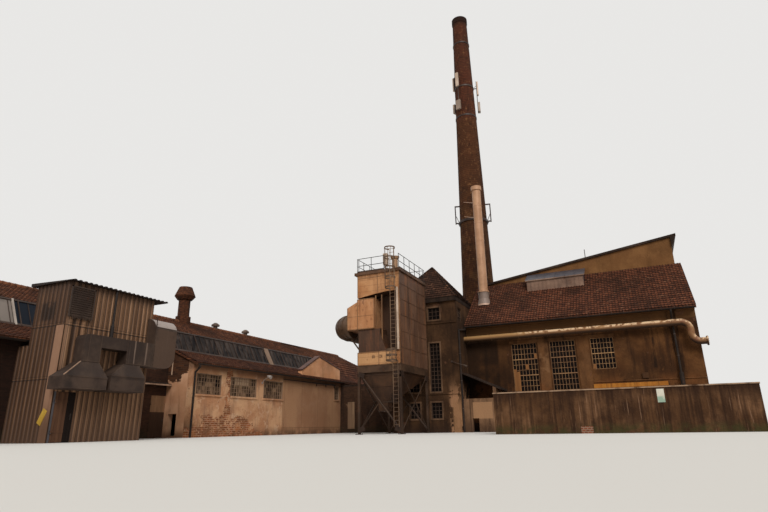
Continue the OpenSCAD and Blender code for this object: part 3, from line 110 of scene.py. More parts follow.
def place(m, axis):
    if axis == "slope":
        return add(m, "SeparateXYZ", {"Vector": add(m, "NewGeometry").outputs["Normal"]}).outputs["Z"]
    return add(m, "SeparateXYZ", {"Vector": add(m, "TexCoord").outputs["Object"]}).outputs[axis]


def blotches(m, size, low, high, stretch=1, detail=5):
    # A stretch of one number is along the height alone
    stretch = stretch if isinstance(stretch, tuple) else (1, 1, stretch)
    spread = add(m, "Mapping", {"Vector": add(m, "TexCoord").outputs["Object"], "Scale": stretch})
    noise = add(m, "TexNoise", {"Vector": spread, "Scale": 1 / size, "Detail": detail, "Roughness": 0.62})
    return add(m, "MapRange", {"Value": noise.outputs["Fac"], "From Min": low, "From Max": high},
               interpolation_type="SMOOTHSTEP")


def fade(m, axis, start, end):
    return add(m, "MapRange", {"Value": place(m, axis), "From Min": start, "From Max": end},
               interpolation_type="SMOOTHSTEP")


def patch(soft, **sides):
    # A mark with soft edges that lies between two places on each axis named
    return [(axis, *ends) for axis, (low, high) in sides.items() for ends in ((low, low + soft), (high, high - soft))]


print("runs are drawn out", round(RUNS[0] / RUNS[2], 1), "times in height")

# %% [markdown]
# A stack lays coats of colour. A row is a coat, how much of it covers, and its masks: one that starts with
# an axis is a fade, one that starts with a size is blotches of that size, and a function makes its own.

# %% Coats
def stack(m, colour, coats):
    for above, share, *masks in coats:
        for mask in masks:
            if isinstance(mask, tuple):
                mask = (fade if isinstance(mask[0], str) else blotches)(m, *mask)
            elif callable(mask):
                mask = mask(m)
            share = add(m, "Math", (share, mask), operation="MULTIPLY", use_clamp=True)
        above = above(m) if callable(above) else above
        colour = add(m, "Mix", {0: share, 6: colour, 7: above}, data_type="RGBA").outputs[2]
    return colour


def new_finish(name):
    m = bpy.data.materials.new(name)
    m.use_nodes = True
    return m


def close(m, ground, coats, rough, height=None, depth=0.004, metallic=0, shine=0.12):
    # Masonry full of pores and soot throws hardly any light back like a mirror, so its shine is low
    inputs = {"Base Color": stack(m, ground, coats), "Roughness": rough, "Metallic": metallic,
              "Specular IOR Level": shine}
    if height is not None:
        height = blotches(m, *height) if isinstance(height, tuple) else height
        inputs["Normal"] = add(m, "Bump", {"Height": height, "Distance": depth, "Strength": 0.8})
    wire(m, m.node_tree.nodes["Principled BSDF"], inputs)
    return m


print("a patch has", len(patch(0.1, X=(0, 1), Z=(0, 1))), "soft edges")

# %% [markdown]
# All walls run along X or Y, so the sum of both counts the length on each, and height counts the courses.
# A brick of 250 by 65 mm with 10 mm joints is 130 by 37.5 mm here. The same pattern in black and white is a
# mask for joints or for pieces.

# %% Brick courses
BRICK, COURSE = 0.13, 0.0375
JOINTS = ("#000000", "#000000", "#ffffff")
PIECES = ("#000000", "#ffffff", "#000000")


def brickwork(m, one, two, joint, width=BRICK, height=COURSE, gap=0.004, offset=0.5, foot=0, where=None):
    if where is None:
        run = add(m, "Math", (place(m, "X"), place(m, "Y")), operation="ADD")
        rise = add(m, "Math", (place(m, "Z"), foot), operation="SUBTRACT")
        where = add(m, "CombineXYZ", {"X": run, "Y": rise})
    return add(m, "TexBrick", {"Vector": where, "Color1": one, "Color2": two, "Mortar": joint, "Scale": 1,
                               "Mortar Size": gap, "Mortar Smooth": 0.2, "Bias": 0, "Brick Width": width,
                               "Row Height": height}, offset=offset)


def wall_brick(name, one, two, joint, soot, pale="#97745a"):
    m = new_finish(name)
    wall = brickwork(m, one, two, joint)
    return close(m, wall, [
        (soot, 0.7, (1.6, 0.42, 0.66, 0.4)),
        (soot, 0.6, (0.3, 0.5, 0.7, RUNS)),
        (pale, 0.4, (0.35, 0.62, 0.72)),
        ("#2c2a1c", 0.5, ("Z", 0.5, 0))], 0.93, wall.outputs["Fac"], -0.004)


print("a wall of one metre has", round(1 / COURSE, 1), "courses")

# %% [markdown]
# On the chimney the turn about its axis takes the place of the length. The shaft is darkest at its top, long
# streaks of soot hang down it, and fields of nine courses differ in tone.

# %% Chimney brick
SHAFT_RADIUS = 0.7


def chimney_brick():
    m = new_finish("sooty_chimney_brick")
    turn = add(m, "Math", (place(m, "Y"), place(m, "X")), operation="ARCTAN2")
    run = add(m, "Math", (turn, SHAFT_RADIUS), operation="MULTIPLY")
    shaft = add(m, "CombineXYZ", {"X": run, "Y": place(m, "Z")})
    wall = brickwork(m, "#5e3422", "#3e2217", "#443024", where=shaft)
    # One course is finer than the render can show, so every third course is drawn with a wider dark joint
    lines = brickwork(m, *JOINTS, 40, 3 * COURSE, 0.034, where=shaft)
    belts = brickwork(m, "#ffffff", "#000000", "#000000", 1.1, 9 * COURSE, 0, where=shaft)
    return close(m, wall, [
        ("#55331d", 0.75, ("Z", 17.4, 16.8)),
        ("#5f3120", 0.6, ("Z", 16.8, 17.4), (0.8, 0.35, 0.6)),
        ("#2a1a11", 0.7, belts, ("Z", 19, 9)),
        ("#6b4a2b", 0.5, ("Z", 15, 8), (0.6, 0.45, 0.6)),
        ("#2a1a12", 0.45, lines),
        ("#74492c", 0.5, belts, ("Z", 17.2, 16.9), (0.5, 0.5, 0.7)),
        ("#251711", 0.8, (1.1, 0.46, 0.7, (1.5, 1.5, 0.1))),
        ("#8d6440", 0.45, (0.13, 0.56, 0.68, 0.7)),
        ("#24160f", 0.6, (0.2, 0.54, 0.66, 0.5, 8)),
        ("#211611", 0.85, ("Z", 23.6, 24.1))], 0.92, wall.outputs["Fac"], -0.006)


print("one chimney brick is", BRICK, "m long and turns", round(math.degrees(BRICK / SHAFT_RADIUS), 1), "degrees")

# %% [markdown]
# Render is cement on brick. Rain washes soot down it in streaks, its foot is damp, and bricks show where it
# has come off. One function makes all the coats, and zones add what belongs to one wall only.

# %% Render
def render_coat(name, ground, light, dark, zones=(), shed=0, foot="#2a1d16", runs=0.85):
    m = new_finish(name)
    grain = blotches(m, 0.05, 0.3, 0.7, detail=3)
    coats = [
        (light, 1, (0.9, 0.4, 0.66)),
        (dark, 0.6, (2.5, 0.45, 0.62)),
        (dark, runs, (0.4, 0.46, 0.7, RUNS)),
        (light, 0.5, (0.14, 0.58, 0.7, 0.6)),
        (foot, 0.6, ("Z", 0.6, 0)),
        *zones]
    if shed:
        bare = blotches(m, 0.7, 0.64, 0.66, 0.8, 7)
        coats.append((brickwork(m, "#6f4531", "#523425", "#645040"), shed, bare))
        grain = add(m, "Math", (grain, bare), operation="SUBTRACT")
    return close(m, ground, coats, 0.9, grain, 0.006)


own = {"cross_gable": render_coat("pale_gable_plaster", "#cb9066", "#daa27a", "#9d6e4e", runs=0.4, foot="#cb9066")}
print("first finish:", own["cross_gable"].name)

# %% [markdown]
# A coat comes off raggedly: the limit of a bare zone is shaken by a noise before it becomes a sharp edge.
# On the return wall by the recess the plaster ends along a line that climbs to the corner, with brick above.

# %% Peeling plaster
COAT = 0.012


def peeled(m, height):
    ragged = add(m, "TexNoise", {"Vector": add(m, "TexCoord").outputs["Object"], "Scale": 1.9, "Detail": 8,
                                 "Roughness": 0.68}).outputs["Fac"]
    shaken = add(m, "Math", (ragged, 1.5, height), operation="MULTIPLY_ADD")
    return add(m, "MapRange", {"Value": shaken, "From Min": 0.75, "From Max": 0.79})


def return_wall_plaster():
    m = new_finish("half_bare_plaster")
    wall = brickwork(m, "#53321f", "#362117", "#4a372a", 2 * BRICK, 2 * COURSE, 0.008)
    climb = add(m, "Math", (place(m, "X"), -0.38, -5.36), operation="MULTIPLY_ADD")
    bare = peeled(m, add(m, "Math", (climb, place(m, "Z")), operation="ADD"))
    return close(m, "#ba8865", [
        ("#c99a78", 1, (0.8, 0.38, 0.62)),
        ("#8d6449", 0.7, (0.4, 0.5, 0.72, 0.3)),
        ("#5a4030", 0.8, ("Z", 0.4, 0)),
        (wall, 1, bare)], 0.9, add(m, "Math", (1, bare), operation="SUBTRACT"), COAT)


print("the coat is drawn", round(1000 * COAT), "mm thick where it ends")

# %% [markdown]
# The hall's front has lost its plaster near the ground, under the first two windows, and its right part is
# duller, with upright seams. Bricks and their pale joints are drawn twice as large as they are, so that they
# show from the yard.

# %% Plaster of the hall's front
def hall_plaster():
    m = new_finish("peeling_lime_plaster")
    wall = brickwork(m, "#9c5c3b", "#6d3f2a", "#b48e70", 2 * BRICK, 2 * COURSE, 0.01)
    near = add(m, "Math", {0: add(m, "Math", (place(m, "Y"), 9.7), operation="ADD")}, operation="ABSOLUTE")
    reach = add(m, "MapRange", {"Value": near, "From Min": 1.2, "From Max": 3.2, "To Min": 0.72, "To Max": -0.5})
    foot = add(m, "Math", (reach, place(m, "Z")), operation="SUBTRACT")
    side = add(m, "MapRange", {"Value": near, "From Min": 0.1, "From Max": 0.6, "To Min": 0.12, "To Max": -0.9})
    bare = add(m, "Math", (peeled(m, foot), peeled(m, side)), operation="MAXIMUM")
    height = add(m, "Math", (blotches(m, 0.05, 0.3, 0.7, detail=3), bare), operation="SUBTRACT")
    seams = brickwork(m, *JOINTS, 1.45, 9, 0.008, foot=0.3)
    right_part = ("Y", -6.02, -5.98)
    return close(m, "#b07e5b", [
        ("#c89b75", 1, (0.9, 0.4, 0.6)),
        ("#8a6650", 0.8, (0.5, 0.5, 0.7, 0.25)),
        ("#d0ad8e", 0.6, (0.3, 0.55, 0.68)),
        ("#6d4e3b", 0.7, (0.12, 0.61, 0.7)),
        ("#926a4e", 0.85, right_part),
        ("#ab815f", 0.75, right_part, (0.9, 0.42, 0.6, 0.5)),
        ("#5e4231", 0.85, right_part, seams),
        ("#634533", 0.75, ("Z", 2.3, 2.55)),
        ("#563c2c", 0.85, ("Z", 0.42, 0), (0.5, 0.3, 0.55)),
        ("#4a3324", 0.6, ("Z", 0.9, 0.3), ("Y", -11, -11.6), (0.4, 0.3, 0.5)),
        (wall, 1, bare, (0.2, 0.42, 0.47, 1.4, 8)),
        ("#a9683b", 0.5, bare, (0.3, 0.5, 0.62)),
        ("#6d452d", 0.55, bare, (0.35, 0.45, 0.6)),
        ("#d3ac84", 0.7, bare, (0.07, 0.6, 0.66))], 0.9, height, COAT)


print("drawn bricks of the hall are", 2 * BRICK, "m long")

# %% [markdown]
# Each clay tile was burnt a little differently. A brick pattern gives every tile its own tone, and its rows
# are set to the rise of one course, so that a dark line of painted shadow under each lap falls on the tiles'
# lower edge. Each roof has its own foot height, rise of a course and width of a tile.

# %% Clay tiles
def clay_tiles(name, one, two, dark, axis, start, foot, rise, pitch):
    m = new_finish(name)
    run = add(m, "Math", (place(m, axis), start), operation="SUBTRACT")
    up = add(m, "Math", (place(m, "Z"), foot), operation="SUBTRACT")
    where = add(m, "CombineXYZ", {"X": run, "Y": up})
    few = brickwork(m, *PIECES, pitch, rise, 0, 0, where=where)
    # a painted shadow line under the lip of each course
    lap_shadow_lines = brickwork(m, *JOINTS, 40, rise, rise * 0.12, where=where)
    return close(m, brickwork(m, one, two, "#1b110c", pitch, rise, 0.009, 0, where=where), [
        ("#93674d", 0.85, few, (0.18, 0.56, 0.66)),
        (dark, 0.75, (1.4, 0.42, 0.68)),
        ("#2a1a13", 0.5, (0.25, 0.58, 0.75, 0.5)),
        ("#170e0a", 0.85, lap_shadow_lines)], 0.88, (0.04, 0.3, 0.7, 1, 2), 0.002)


HALL_CLAY = ("#6f432f", "#4b2c1f", "#33211a")
ROOFS = {"boiler": (("#6e402b", "#492a1d", "#311e14"), "X", 0.42, 4.42, 2.34, 22, 0.11449),
         "hall_low": (HALL_CLAY, "Y", -21.25, 2.665, 0.525, 8, 0.115),
         "hall_high": (("#794930", "#4a2c1f", "#322016"), "Y", -21.25, 4.01, 0.795, 11, 0.1149),
         "hall_steep": (HALL_CLAY, "Y", -1.5, 3.19, 0.82, 6, 0.115),
         "stair": (("#4a2f21", "#332117", "#231610"), "X", -2.73, 5.55, 1.85, 16, 0.115)}
tiled = {}
for roof, (tones, axis, start, foot, rise, rows, pitch) in ROOFS.items():
    tiled[roof] = clay_tiles("fired_clay_tiles_" + roof, *tones, axis, start, foot, rise / rows, pitch)
    print(roof, "roof has", rows, "courses that rise", round(1000 * rise / rows), "mm each")

# %% [markdown]
# Painted steel fades, rusts from its edges down, and is duller where it is dirty. Its metal value stays low,
# because paint covers it. Many parts differ only in tone, so a table holds them: ground, lighter and darker
# tone, rust, how much rust, how dull, how metallic.

# %% Painted and rusting steel
RUST = "#5f3723"


def steel(name, ground, light, dark, rust=RUST, share=0.6, rough=0.5, metallic=0.25, zones=()):
    m = new_finish(name)
    spots = blotches(m, 0.12, 0.6, 0.72, 0.5, 8)
    dull = add(m, "MapRange", {"Value": spots, "To Min": rough, "To Max": 0.85})
    return close(m, ground, [
        (light, 1, (0.8, 0.4, 0.66)),
        (dark, 0.8, (0.5, 0.48, 0.74, RUNS)),
        (rust, share, spots),
        *zones], dull, (0.25, 0.3, 0.7), 0.004, metallic, 0.3)


PLAIN_STEEL = {
    "rain_gutters": ("dark_gutter_zinc", "#1f150e", "#30231a", "#130c08", RUST, 0.6, 0.8, 0),
    "gable_coping": ("red_verge_clay", "#4d2c20", "#613b2b", "#301c15"),
    "filter_railing": ("dark_rail_steel", "#1d1511", "#2a201a", "#120d0a"),
    "chimney_hoops": ("sooty_hoop_steel", "#2e1e17", "#3d2a21", "#1b120e", RUST, 0.6, 0.5, 0.05),
    "ridge_vents": ("grey_vent_paint", "#5f4d41", "#7b675a", "#33281f"),
    "tower_louvre": ("dark_louvre_paint", "#3a2c24", "#4a3b31", "#241a15"),
    "filter_hopper": ("dark_hopper_paint", "#372316", "#4b3220", "#23160e", "#633c26", 0.5, 0.55, 0.25),
    "filter_duct": ("brown_duct_paint", "#4b3727", "#624a38", "#2e2017", "#553422", 0.6, 0.5, 0.25),
    "filter_ladder": ("dusty_ladder_steel", "#6d5441", "#85694f", "#45342a", RUST, 0.4),
    "ladder_cages": ("dusty_cage_steel", "#54402f", "#6b5340", "#38291f", RUST, 0.4),
    "tower_frame": ("blue_grey_post_paint", "#4a4648", "#5b565a", "#2f2a2b"),
    "tower_roof": ("dark_roof_sheet", "#241a16", "#33271f", "#16100d")}
for node, row in PLAIN_STEEL.items():
    own[node] = steel(*row)
print(len(PLAIN_STEEL), "plain steel paints")

# %% [markdown]
# The filter's casing is darker on the side to the yard, partly with dust and partly as painted shade. Its front
# is paler, with a band of light paint and two stains on it. The seams of its panels are the joints of a brick pattern.

# %% Filter casing
PANEL = (0.93, 0.62)


def panel_seams(width, height, foot):
    return lambda m: brickwork(m, *JOINTS, width, height, 0.007, 0, foot)


side = ("Y", -8.585, -8.56)
band = [("Y", -8.585, -8.595), *patch(0.03, Z=(2.53, 2.98))]
marks = [("#46301f", 0.85, *band, (0.07, 0.42, 0.5), *patch(0.06, X=ends, Z=(2.72, 2.9)))
         for ends in ((-2.1, -1.92), (-1.84, -1.6))]
casing_zones = [
    # darker side to the yard, partly dust and partly painted shade
    ("#593f30", 0.96, side),
    ("#755642", 0.75, side, (0.7, 0.46, 0.66, 0.5)),
    ("#3f2b20", 0.85, side, (0.5, 0.45, 0.7, RUNS)),
    ("#bd9063", 0.7, *band, ("X", -1.25, -1.35)),
    *marks,
    ("#8d5a36", 0.8, (0.35, 0.5, 0.72, (1.4, 1.4, 0.14))),
    ("#5a3320", 0.85, (0.1, 0.6, 0.7, 0.35, 8)),
    ("#6e4229", 0.7, ("Z", 5.78, 6.02), (0.2, 0.4, 0.6, 0.2)),
    # painted shade on the surfaces set back inside the recess behind the casing's front
    ("#3a2618", 0.85, *patch(0.04, X=(-2.6, -0.95), Y=(-8.56, -7.8), Z=(2.98, 5.4))),
    ("#37241a", 0.6, side, panel_seams(*PANEL, 2.5)),
    ("#5a3a24", 0.5, ("Y", -8.58, -8.59), panel_seams(40, 0.235, 5.16))]
chute_zones = [
    ("#38251a", 0.95, ("Z", 3.93, 3.88)),
    ("#573a28", 0.6, ("Z", 3.93, 3.88), (0.4, 0.42, 0.65)),
    ("#5a3320", 0.8, (0.09, 0.58, 0.7, 0.35, 8)),
    ("#7c4b2e", 0.8, (0.3, 0.5, 0.7, RUNS))]
print("casing panels are", PANEL[0], "by", PANEL[1], "m")

# %% [markdown]
# The sheets were once one grey. The hollows are painted darker as painted shade, so its mask reads how far a point
# lies behind the crests. Each hollow has a small rib in the lighter ground tone and each crest a groove drawn as a
# painted shade line, and where two sheets lap at each level seam a painted shadow and a painted highlight are drawn.
# The smooth sheet on the corner and the rib beside it have stayed pale.

# %% Ribbed sheets
def ribbed_sheet(name, ground, light, dark, axis, crest, hollow, seams, along, start, pitch, zones):
    m = new_finish(name)
    share = add(m, "Math", (place(m, along), 1 / pitch, -start / pitch), operation="MULTIPLY_ADD")
    share = add(m, "Math", {0: share}, operation="FRACT")
    groove_shade_line = add(m, "Math", (share, 0.65, 0.045), operation="COMPARE")
    small_rib = add(m, "Math", (share, 0.15, 0.1), operation="COMPARE")
    coats = [
        (light, 1, (0.5, 0.4, 0.62, (2.5, 2.5, 0.1))),
        (dark, 0.8, (0.3, 0.48, 0.7, 0.07)),
        ("#6d4a34", 0.6, (0.1, 0.6, 0.7, 0.3, 8)),
        # painted shade: the hollows between the ribs are darker than the crests
        ("#2a1c14", 0.8, (axis, crest, hollow)),
        # a painted shade line in the groove on each crest, and the small rib keeps the lighter ground tone
        ("#2a1c14", 0.55, groove_shade_line),
        (ground, 0.85, small_rib),
        (dark, 0.6, small_rib, (0.4, 0.4, 0.65, 0.2)),
        ("#4c382b", 0.6, ("Z", 0.9, 0)),
        ("#38271d", 0.7, ("Z", 3.7, 4.05))]
    # painted shadow under each lap of two sheets, a painted highlight on its edge and a fainter painted shadow above
    for z in seams:
        coats += [("#1c130e", 0.85, *patch(0.012, Z=(z - 0.035, z + 0.006))),
                  (light, 0.3, *patch(0.01, Z=(z + 0.006, z + 0.04))),
                  ("#1c130e", 0.5, *patch(0.01, Z=(z + 0.04, z + 0.065)))]
    return close(m, ground, [*coats, *zones], 0.6, (0.3, 0.3, 0.7), 0.004, 0.3, 0.25)


SEAM, FRONT_PITCH, SIDE_PITCH = 2.915, 0.1542, 0.1591
below_seam = ("Z", SEAM - 0.01, SEAM - 0.02)
on_corner = [("X", -6.475, -6.465), ("Y", -18.21, -18.215), below_seam]
first_rib = ("Y", -18.1, -18.12)
smudge = [("X", -7.35, -7.1), ("X", -6.55, -6.75), ("Z", 3.02, 3.12), ("Z", 3.62, 3.5)]
own["tower_side_sheets"] = ribbed_sheet(
    "ribbed_sheet_side", "#533a29", "#6c4e38", "#35241a", "Y", -18.209, -18.19, (SEAM, 1.55), "X", -6.18, -SIDE_PITCH, [
        ("#1f1611", 0.75, (0.3, 0.3, 0.5), *smudge),
        ("#8a6650", 0.95, *on_corner),
        ("#9f7a61", 0.8, (0.4, 0.4, 0.6, RUNS), *on_corner),
        ("#5d4332", 0.8, ("Z", 1.2, 0.3), *on_corner)])
front_sheets = ribbed_sheet(
    "ribbed_sheet_front", "#79583f", "#967255", "#4b3526", "X", -6.158, -6.174, (SEAM,), "Y", -17.587, FRONT_PITCH, [
        ("#8d6b53", 0.9, first_rib, below_seam),
        ("#8d6b53", 0.6, first_rib, ("Z", 2.9, 2.95), ("Z", 4, 3.8))])
print("ribs are", round(1000 * FRONT_PITCH), "mm apart in front and", round(1000 * SIDE_PITCH), "mm on the side")

# %% [markdown]
# Old panes are dark with the room behind and dull with dust, each a bit different, which a brick pattern of
# the size of one pane gives. In the hall one pane is broken out and one window has a pale sheet behind it.
# On the roof the panes at the far end were changed: one is pale, its neighbour a dark blue.

# %% Glass
def pane_glass(name, dark, light, width, height, foot, gloss, share=0.8, zones=()):
    m = new_finish(name)
    return close(m, dark, [
        (light, share, brickwork(m, *PIECES, width, height, 0, 0, foot), (0.5, 0.35, 0.6)),
        ("#14100e", 0.6, (0.35, 0.5, 0.7)),
        *zones], gloss, (0.4, 0.3, 0.7), 0.002, shine=0.06)


HALL_PANE = (0.152, 0.154)
roof_front = ("X", -10.95, -10.9)
own["hall_windows"] = pane_glass("dusty_beige_panes", "#33271f", "#9c7d61", *HALL_PANE, 1.54, 0.5, 1, [
    # the broken-out pane is painted near black, painted shade of the dark room behind it
    ("#0d0a09", 1, ("Y", -10.5, -10.46), ("Y", -10.2, -10.24), ("Z", 1.8, 1.86), ("Z", 2.22, 2.18)),
    ("#a48a70", 0.85, ("Y", -9.32, -9.28), ("Y", -8.4, -8.45), ("Z", 1.96, 2))])
finishes = {
    "dusty_glass": pane_glass("dark_dusty_panes", "#090605", "#20150f", 0.129, 0.217, 1.55, 0.6),
    "roof_glass": pane_glass("wired_roof_glass", "#181415", "#52463f", 0.15, 4, 0, 0.45, 0.9, [
        ("#8a7f76", 0.85, roof_front, *patch(0.03, Y=(-18.74, -17.84)), (0.5, 0.2, 0.5, (1, 0.3, 0.3))),
        ("#1c2129", 0.95, roof_front, ("Y", -17.8, -17.76), ("Y", -16.3, -16.5))])}
print("one hall pane is", HALL_PANE[0], "by", HALL_PANE[1], "m")

# %% [markdown]
# Dark runs hang from the top of the concrete, moss grows at its foot, and its crown is paler. A hole near the
# foot of the yard wall was filled with brick. Painted boards show their grain as upright streaks.

# %% Concrete and wood
def concrete(name, ground, light, dark, zones=()):
    return close(new_finish(name), ground, [
        (light, 1, (0.8, 0.4, 0.66)),
        (dark, 0.6, (1.7, 0.46, 0.6)),
        (dark, 0.7, (0.24, 0.44, 0.62, (2.2, 2.2, 0.1))),
        (dark, 0.35, (0.09, 0.5, 0.64, (1.6, 1.6, 0.1))),
        (dark, 0.5, (0.4, 0.47, 0.62, 0.6, 8)),
        ("#9a765c", 0.5, (0.07, 0.6, 0.7, (1.6, 1.6, 0.06))),
        (light, 0.6, (0.2, 0.6, 0.72, (1.6, 1.6, 0.2))),
        (dark, 0.7, ("Z", 0.78, 1.06), (0.22, 0.35, 0.55, (1.6, 1.6, 0.25))),
        ("#3a381e", 0.75, ("Z", 0.32, 0.05), (0.3, 0.38, 0.6)),
        ("#a88a70", 0.8, ("Z", 1.088, 1.1), (0.35, 0.3, 0.55)),
        *zones], 0.92, (0.05, 0.3, 0.7, 1, 4), 0.008)


def old_wood(name, ground, light, dark, zones=()):
    return close(new_finish(name), ground, [
        (light, 1, (0.3, 0.4, 0.66, (3, 3, 0.1))),
        (dark, 0.8, (0.1, 0.5, 0.7, (2, 2, 0.08))),
        *zones], 0.8, (0.05, 0.3, 0.7, (3, 3, 0.1)), 0.003)


def patch_brick(m):
    return brickwork(m, "#8a4a30", "#5e3422", "#8d7260", 0.1, 0.05, 0.01)


finishes.update({
    "yard_concrete": concrete("streaked_concrete", "#523722", "#6a4b33", "#2a1a11", [
        (patch_brick, 0.9, ("X", 5.48, 5.5), ("X", 5.8, 5.78), ("Z", 0.19, 0.16))]),
    "floor_concrete": concrete("worn_floor_concrete", "#6c6055", "#7d7064", "#4d443c"),
    "board_paint": old_wood("ochre_board_paint", "#9a5f24", "#b0732f", "#6b4320", [("#33241b", 0.9, ("Z", 1.75, 1.8))]),
    "door_wood": old_wood("faded_door_paint_with_painted_shadow", "#523829", "#654733", "#332119", [
        # painted shadow: the boards of the tower door beyond y -17.78 are near black, as where the leaf stands ajar
        ("#120d0b", 0.95, ("Y", -17.8, -17.78))])})
own["passage_door"] = old_wood("two_tone_door_paint", "#7f5f45", "#937052", "#543c2d", [
    ("#3a271d", 0.95, ("Z", 0.92, 0.9))])
print(len(finishes), "main finishes so far")

# %% [markdown]
# Each material slot has its main finish. Nodes of a slot that look different on the real factory get one of
# their own in a second table. These are the walls and roofs with their stains.

# %% Finishes of walls and roofs
finishes.update({
    "chimney_brick": chimney_brick(),
    "dark_render": render_coat("sooty_cement_render", "#4f311a", "#684426", "#29190f", shed=0.6, zones=[
        ("#6f4c30", 0.6, ("Y", -4.215, -4.228), (0.6, 0.35, 0.6, 0.5)),
        ("#805c3e", 0.7, *patch(0.1, X=(3.4, 3.85), Z=(2.2, 3.1)), (0.3, 0.4, 0.6)),
        ("#67482c", 0.65, ("Z", 3.95, 4.05), ("Y", -4.05, -4.15)),
        ("#1c120b", 0.75, ("X", 1.8, 1.7), ("Z", 3.95, 3.8), (1.2, 0.3, 0.5)),
        ("#26180e", 0.5, ("X", 2.25, 2.15), ("Z", 3.95, 3.8)),
        ("#1c120c", 0.8, *patch(0.12, X=(8.25, 8.72)), (0.22, 0.42, 0.6, RUNS)),
        ("#1c120c", 0.7, *patch(0.06, X=(7.55, 7.78), Z=(2.2, 3.4)), (0.1, 0.4, 0.6, RUNS)),
        ("#7a4a28", 0.4, ("Z", 2.1, 1.7), (0.8, 0.45, 0.6))]),
    "ochre_render": render_coat("ochre_render", "#6b482a", "#7a5533", "#54381f", runs=0.5),
    "brown_render": render_coat("brown_render", "#3c2819", "#513824", "#22160e", shed=0.5, zones=[
        ("#9a7152", 0.9, ("X", -0.16, 0.02), ("Z", 2.2, 1.2), (0.2, 0.49, 0.53, 0.5, 8)),
        ("#8e6849", 0.85, ("X", 0, 0.1), ("Z", 1.5, 1), (0.28, 0.38, 0.44, 0.6, 8))]),
    "cream_plaster": hall_plaster(),
    "hall_brick": wall_brick("old_red_brick", "#5e3829", "#452a20", "#4c392d", "#271a15"),
    "roof_tiles": tiled["boiler"],
    "roof_felt": render_coat("bitumen_felt", "#33261f", "#44352c", "#1f1713")})
own.update({
    "annex_walls": render_coat("grey_annex_plaster", "#7d5c43", "#926e51", "#4e3828", [
        ("#a27a58", 0.8, ("X", 0.83, 0.86), ("X", 1.65, 1.62), ("Z", 0.5, 0.53), ("Z", 1.16, 1.13)),
        ("#3d2c20", 0.7, ("X", 0.76, 0.74), ("X", 0.7, 0.72))]),
    "hall_return_walls": return_wall_plaster(),
    # painted shade: the hall's end wall is a much darker copy of the hall's brick
    "hall_south_wall": wall_brick("end_brick_in_painted_shade", "#2e1c14", "#20140e", "#261a13", "#140c09", "#4a3326"),
    "hall_recess_wall": wall_brick("dark_recess_brick", "#4a2f22", "#352219", "#3d2c22", "#1e1511", "#6b4d3b"),
    "passage_lintel": wall_brick("dark_lintel_brick", "#4a2f22", "#352219", "#3d2c22", "#1e1511"),
    "link_walls": wall_brick("dark_link_brick", "#4d3427", "#38261c", "#40301f", "#1f1612"),
    "ridge_stack": wall_brick("orange_stack_brick", "#633a26", "#3d251a", "#322318", "#1f140e", "#b57e5a"),
    "hall_tiled_roof": tiled["hall_high"],
    "stair_tower_roof": tiled["stair"]})
print(len(finishes), "main finishes and", len(own), "of single nodes so far")

# %% [markdown]
# The steelwork has its own stains, such as dust on the slope of the duct's box. The lagged pipe is paler on top, partly
# dust and partly painted light, and darker on its sides and underside as painted shade.
# Only the pale aerial panels stand more than 0.75 m from the chimney's axis, so what is nearer gets dark paint.

# %% Finishes of steelwork
def near_shaft(m):
    flat = add(m, "CombineXYZ", {"X": place(m, "X"), "Y": place(m, "Y")})
    reach = add(m, "VectorMath", {0: flat}, operation="LENGTH").outputs["Value"]
    return add(m, "MapRange", {"Value": reach, "From Min": 0.755, "From Max": 0.75})


finishes.update({
    "grey_steel": steel("dark_zinc", "#3e3028", "#524037", "#261c17"),
    "dark_steel": steel("rusty_dark_steel", "#34251c", "#483428", "#1f1611", "#5b3520", 0.6, 0.6, 0.35),
    "ribbed_sheet": front_sheets,
    "aerial_paint": steel("pale_aerial_paint", "#b8a08c", "#cbb5a2", "#8d7462", share=0.2, zones=[
        ("#2a1e18", 0.95, near_shaft),
        ("#5d4d42", 0.6, ("Z", 18.6, 18.4))]),
    "flue_steel": steel("pale_flue_paint", "#a67c5d", "#b98e6d", "#845e43", "#7a5238", 0.4, 0.5, 0.1, [
        ("#7d6c62", 0.95, ("Z", 6.17, 6.15)),
        ("#b99781", 0.9, ("Z", 5.62, 5.58))]),
    "pipe_cladding": steel(
        "stained_sheet_lagging", "#7f5737", "#9a7149", "#4d3322", "#4a2f1f", 0.7, 0.6, 0.15, [
            ("#a57d4c", 0.8, ("X", 3.4, 2.6)),
            # painted shade: the pipe's sides are darker than its top
            ("#6d4829", 0.6, ("slope", 0.5, 0)),
            # paler top of the pipe, partly dust and partly painted light
            ("#dab891", 0.95, ("slope", 0, 0.5), ("X", 2.4, 3.4), (0.2, 0.44, 0.52, 1, 7)),
            ("#71452c", 0.75, ("X", 8.3, 8.7), (0.19, 0.5, 0.54, 1, 8)),
            # painted shade on the pipe's underside
            ("#2b1b12", 0.85, ("slope", 0, -0.6))]),
    "filter_paint": steel(
        "filter_casing_paint", "#a97246", "#bd8a5d", "#835232", "#6b3f26", 0.7, 0.55, 0.15, casing_zones),
    "duct_steel": steel("dark_sheet_steel", "#31241d", "#46362b", "#1f1611", "#47322a", 0.4, 0.65, 0.1, [
        ("#523e31", 0.8, ("Y", -15.62, -15.58), (0.5, 0.25, 0.5)),
        ("#a79a92", 0.9, ("slope", 0.12, 0.3), ("Z", 3.05, 3.12), ("Y", -15.62, -15.58)),
        ("#7d685a", 0.7, (0.3, 0.62, 0.7, (3, 3, 0.07))),
        ("#1d1613", 0.9, *patch(0.02, Y=(-16.95, -16.75)), ("Z", 2.71, 2.76))])})
print(len(finishes), "main finishes in all")

# %% [markdown]
# Some pieces of steelwork differ from the rest of their slot: the monitor is pale in front and blue-grey on
# top, and the filter's roof slab is rusty. Then each CAD node gets its own finish, or else that of its slot.

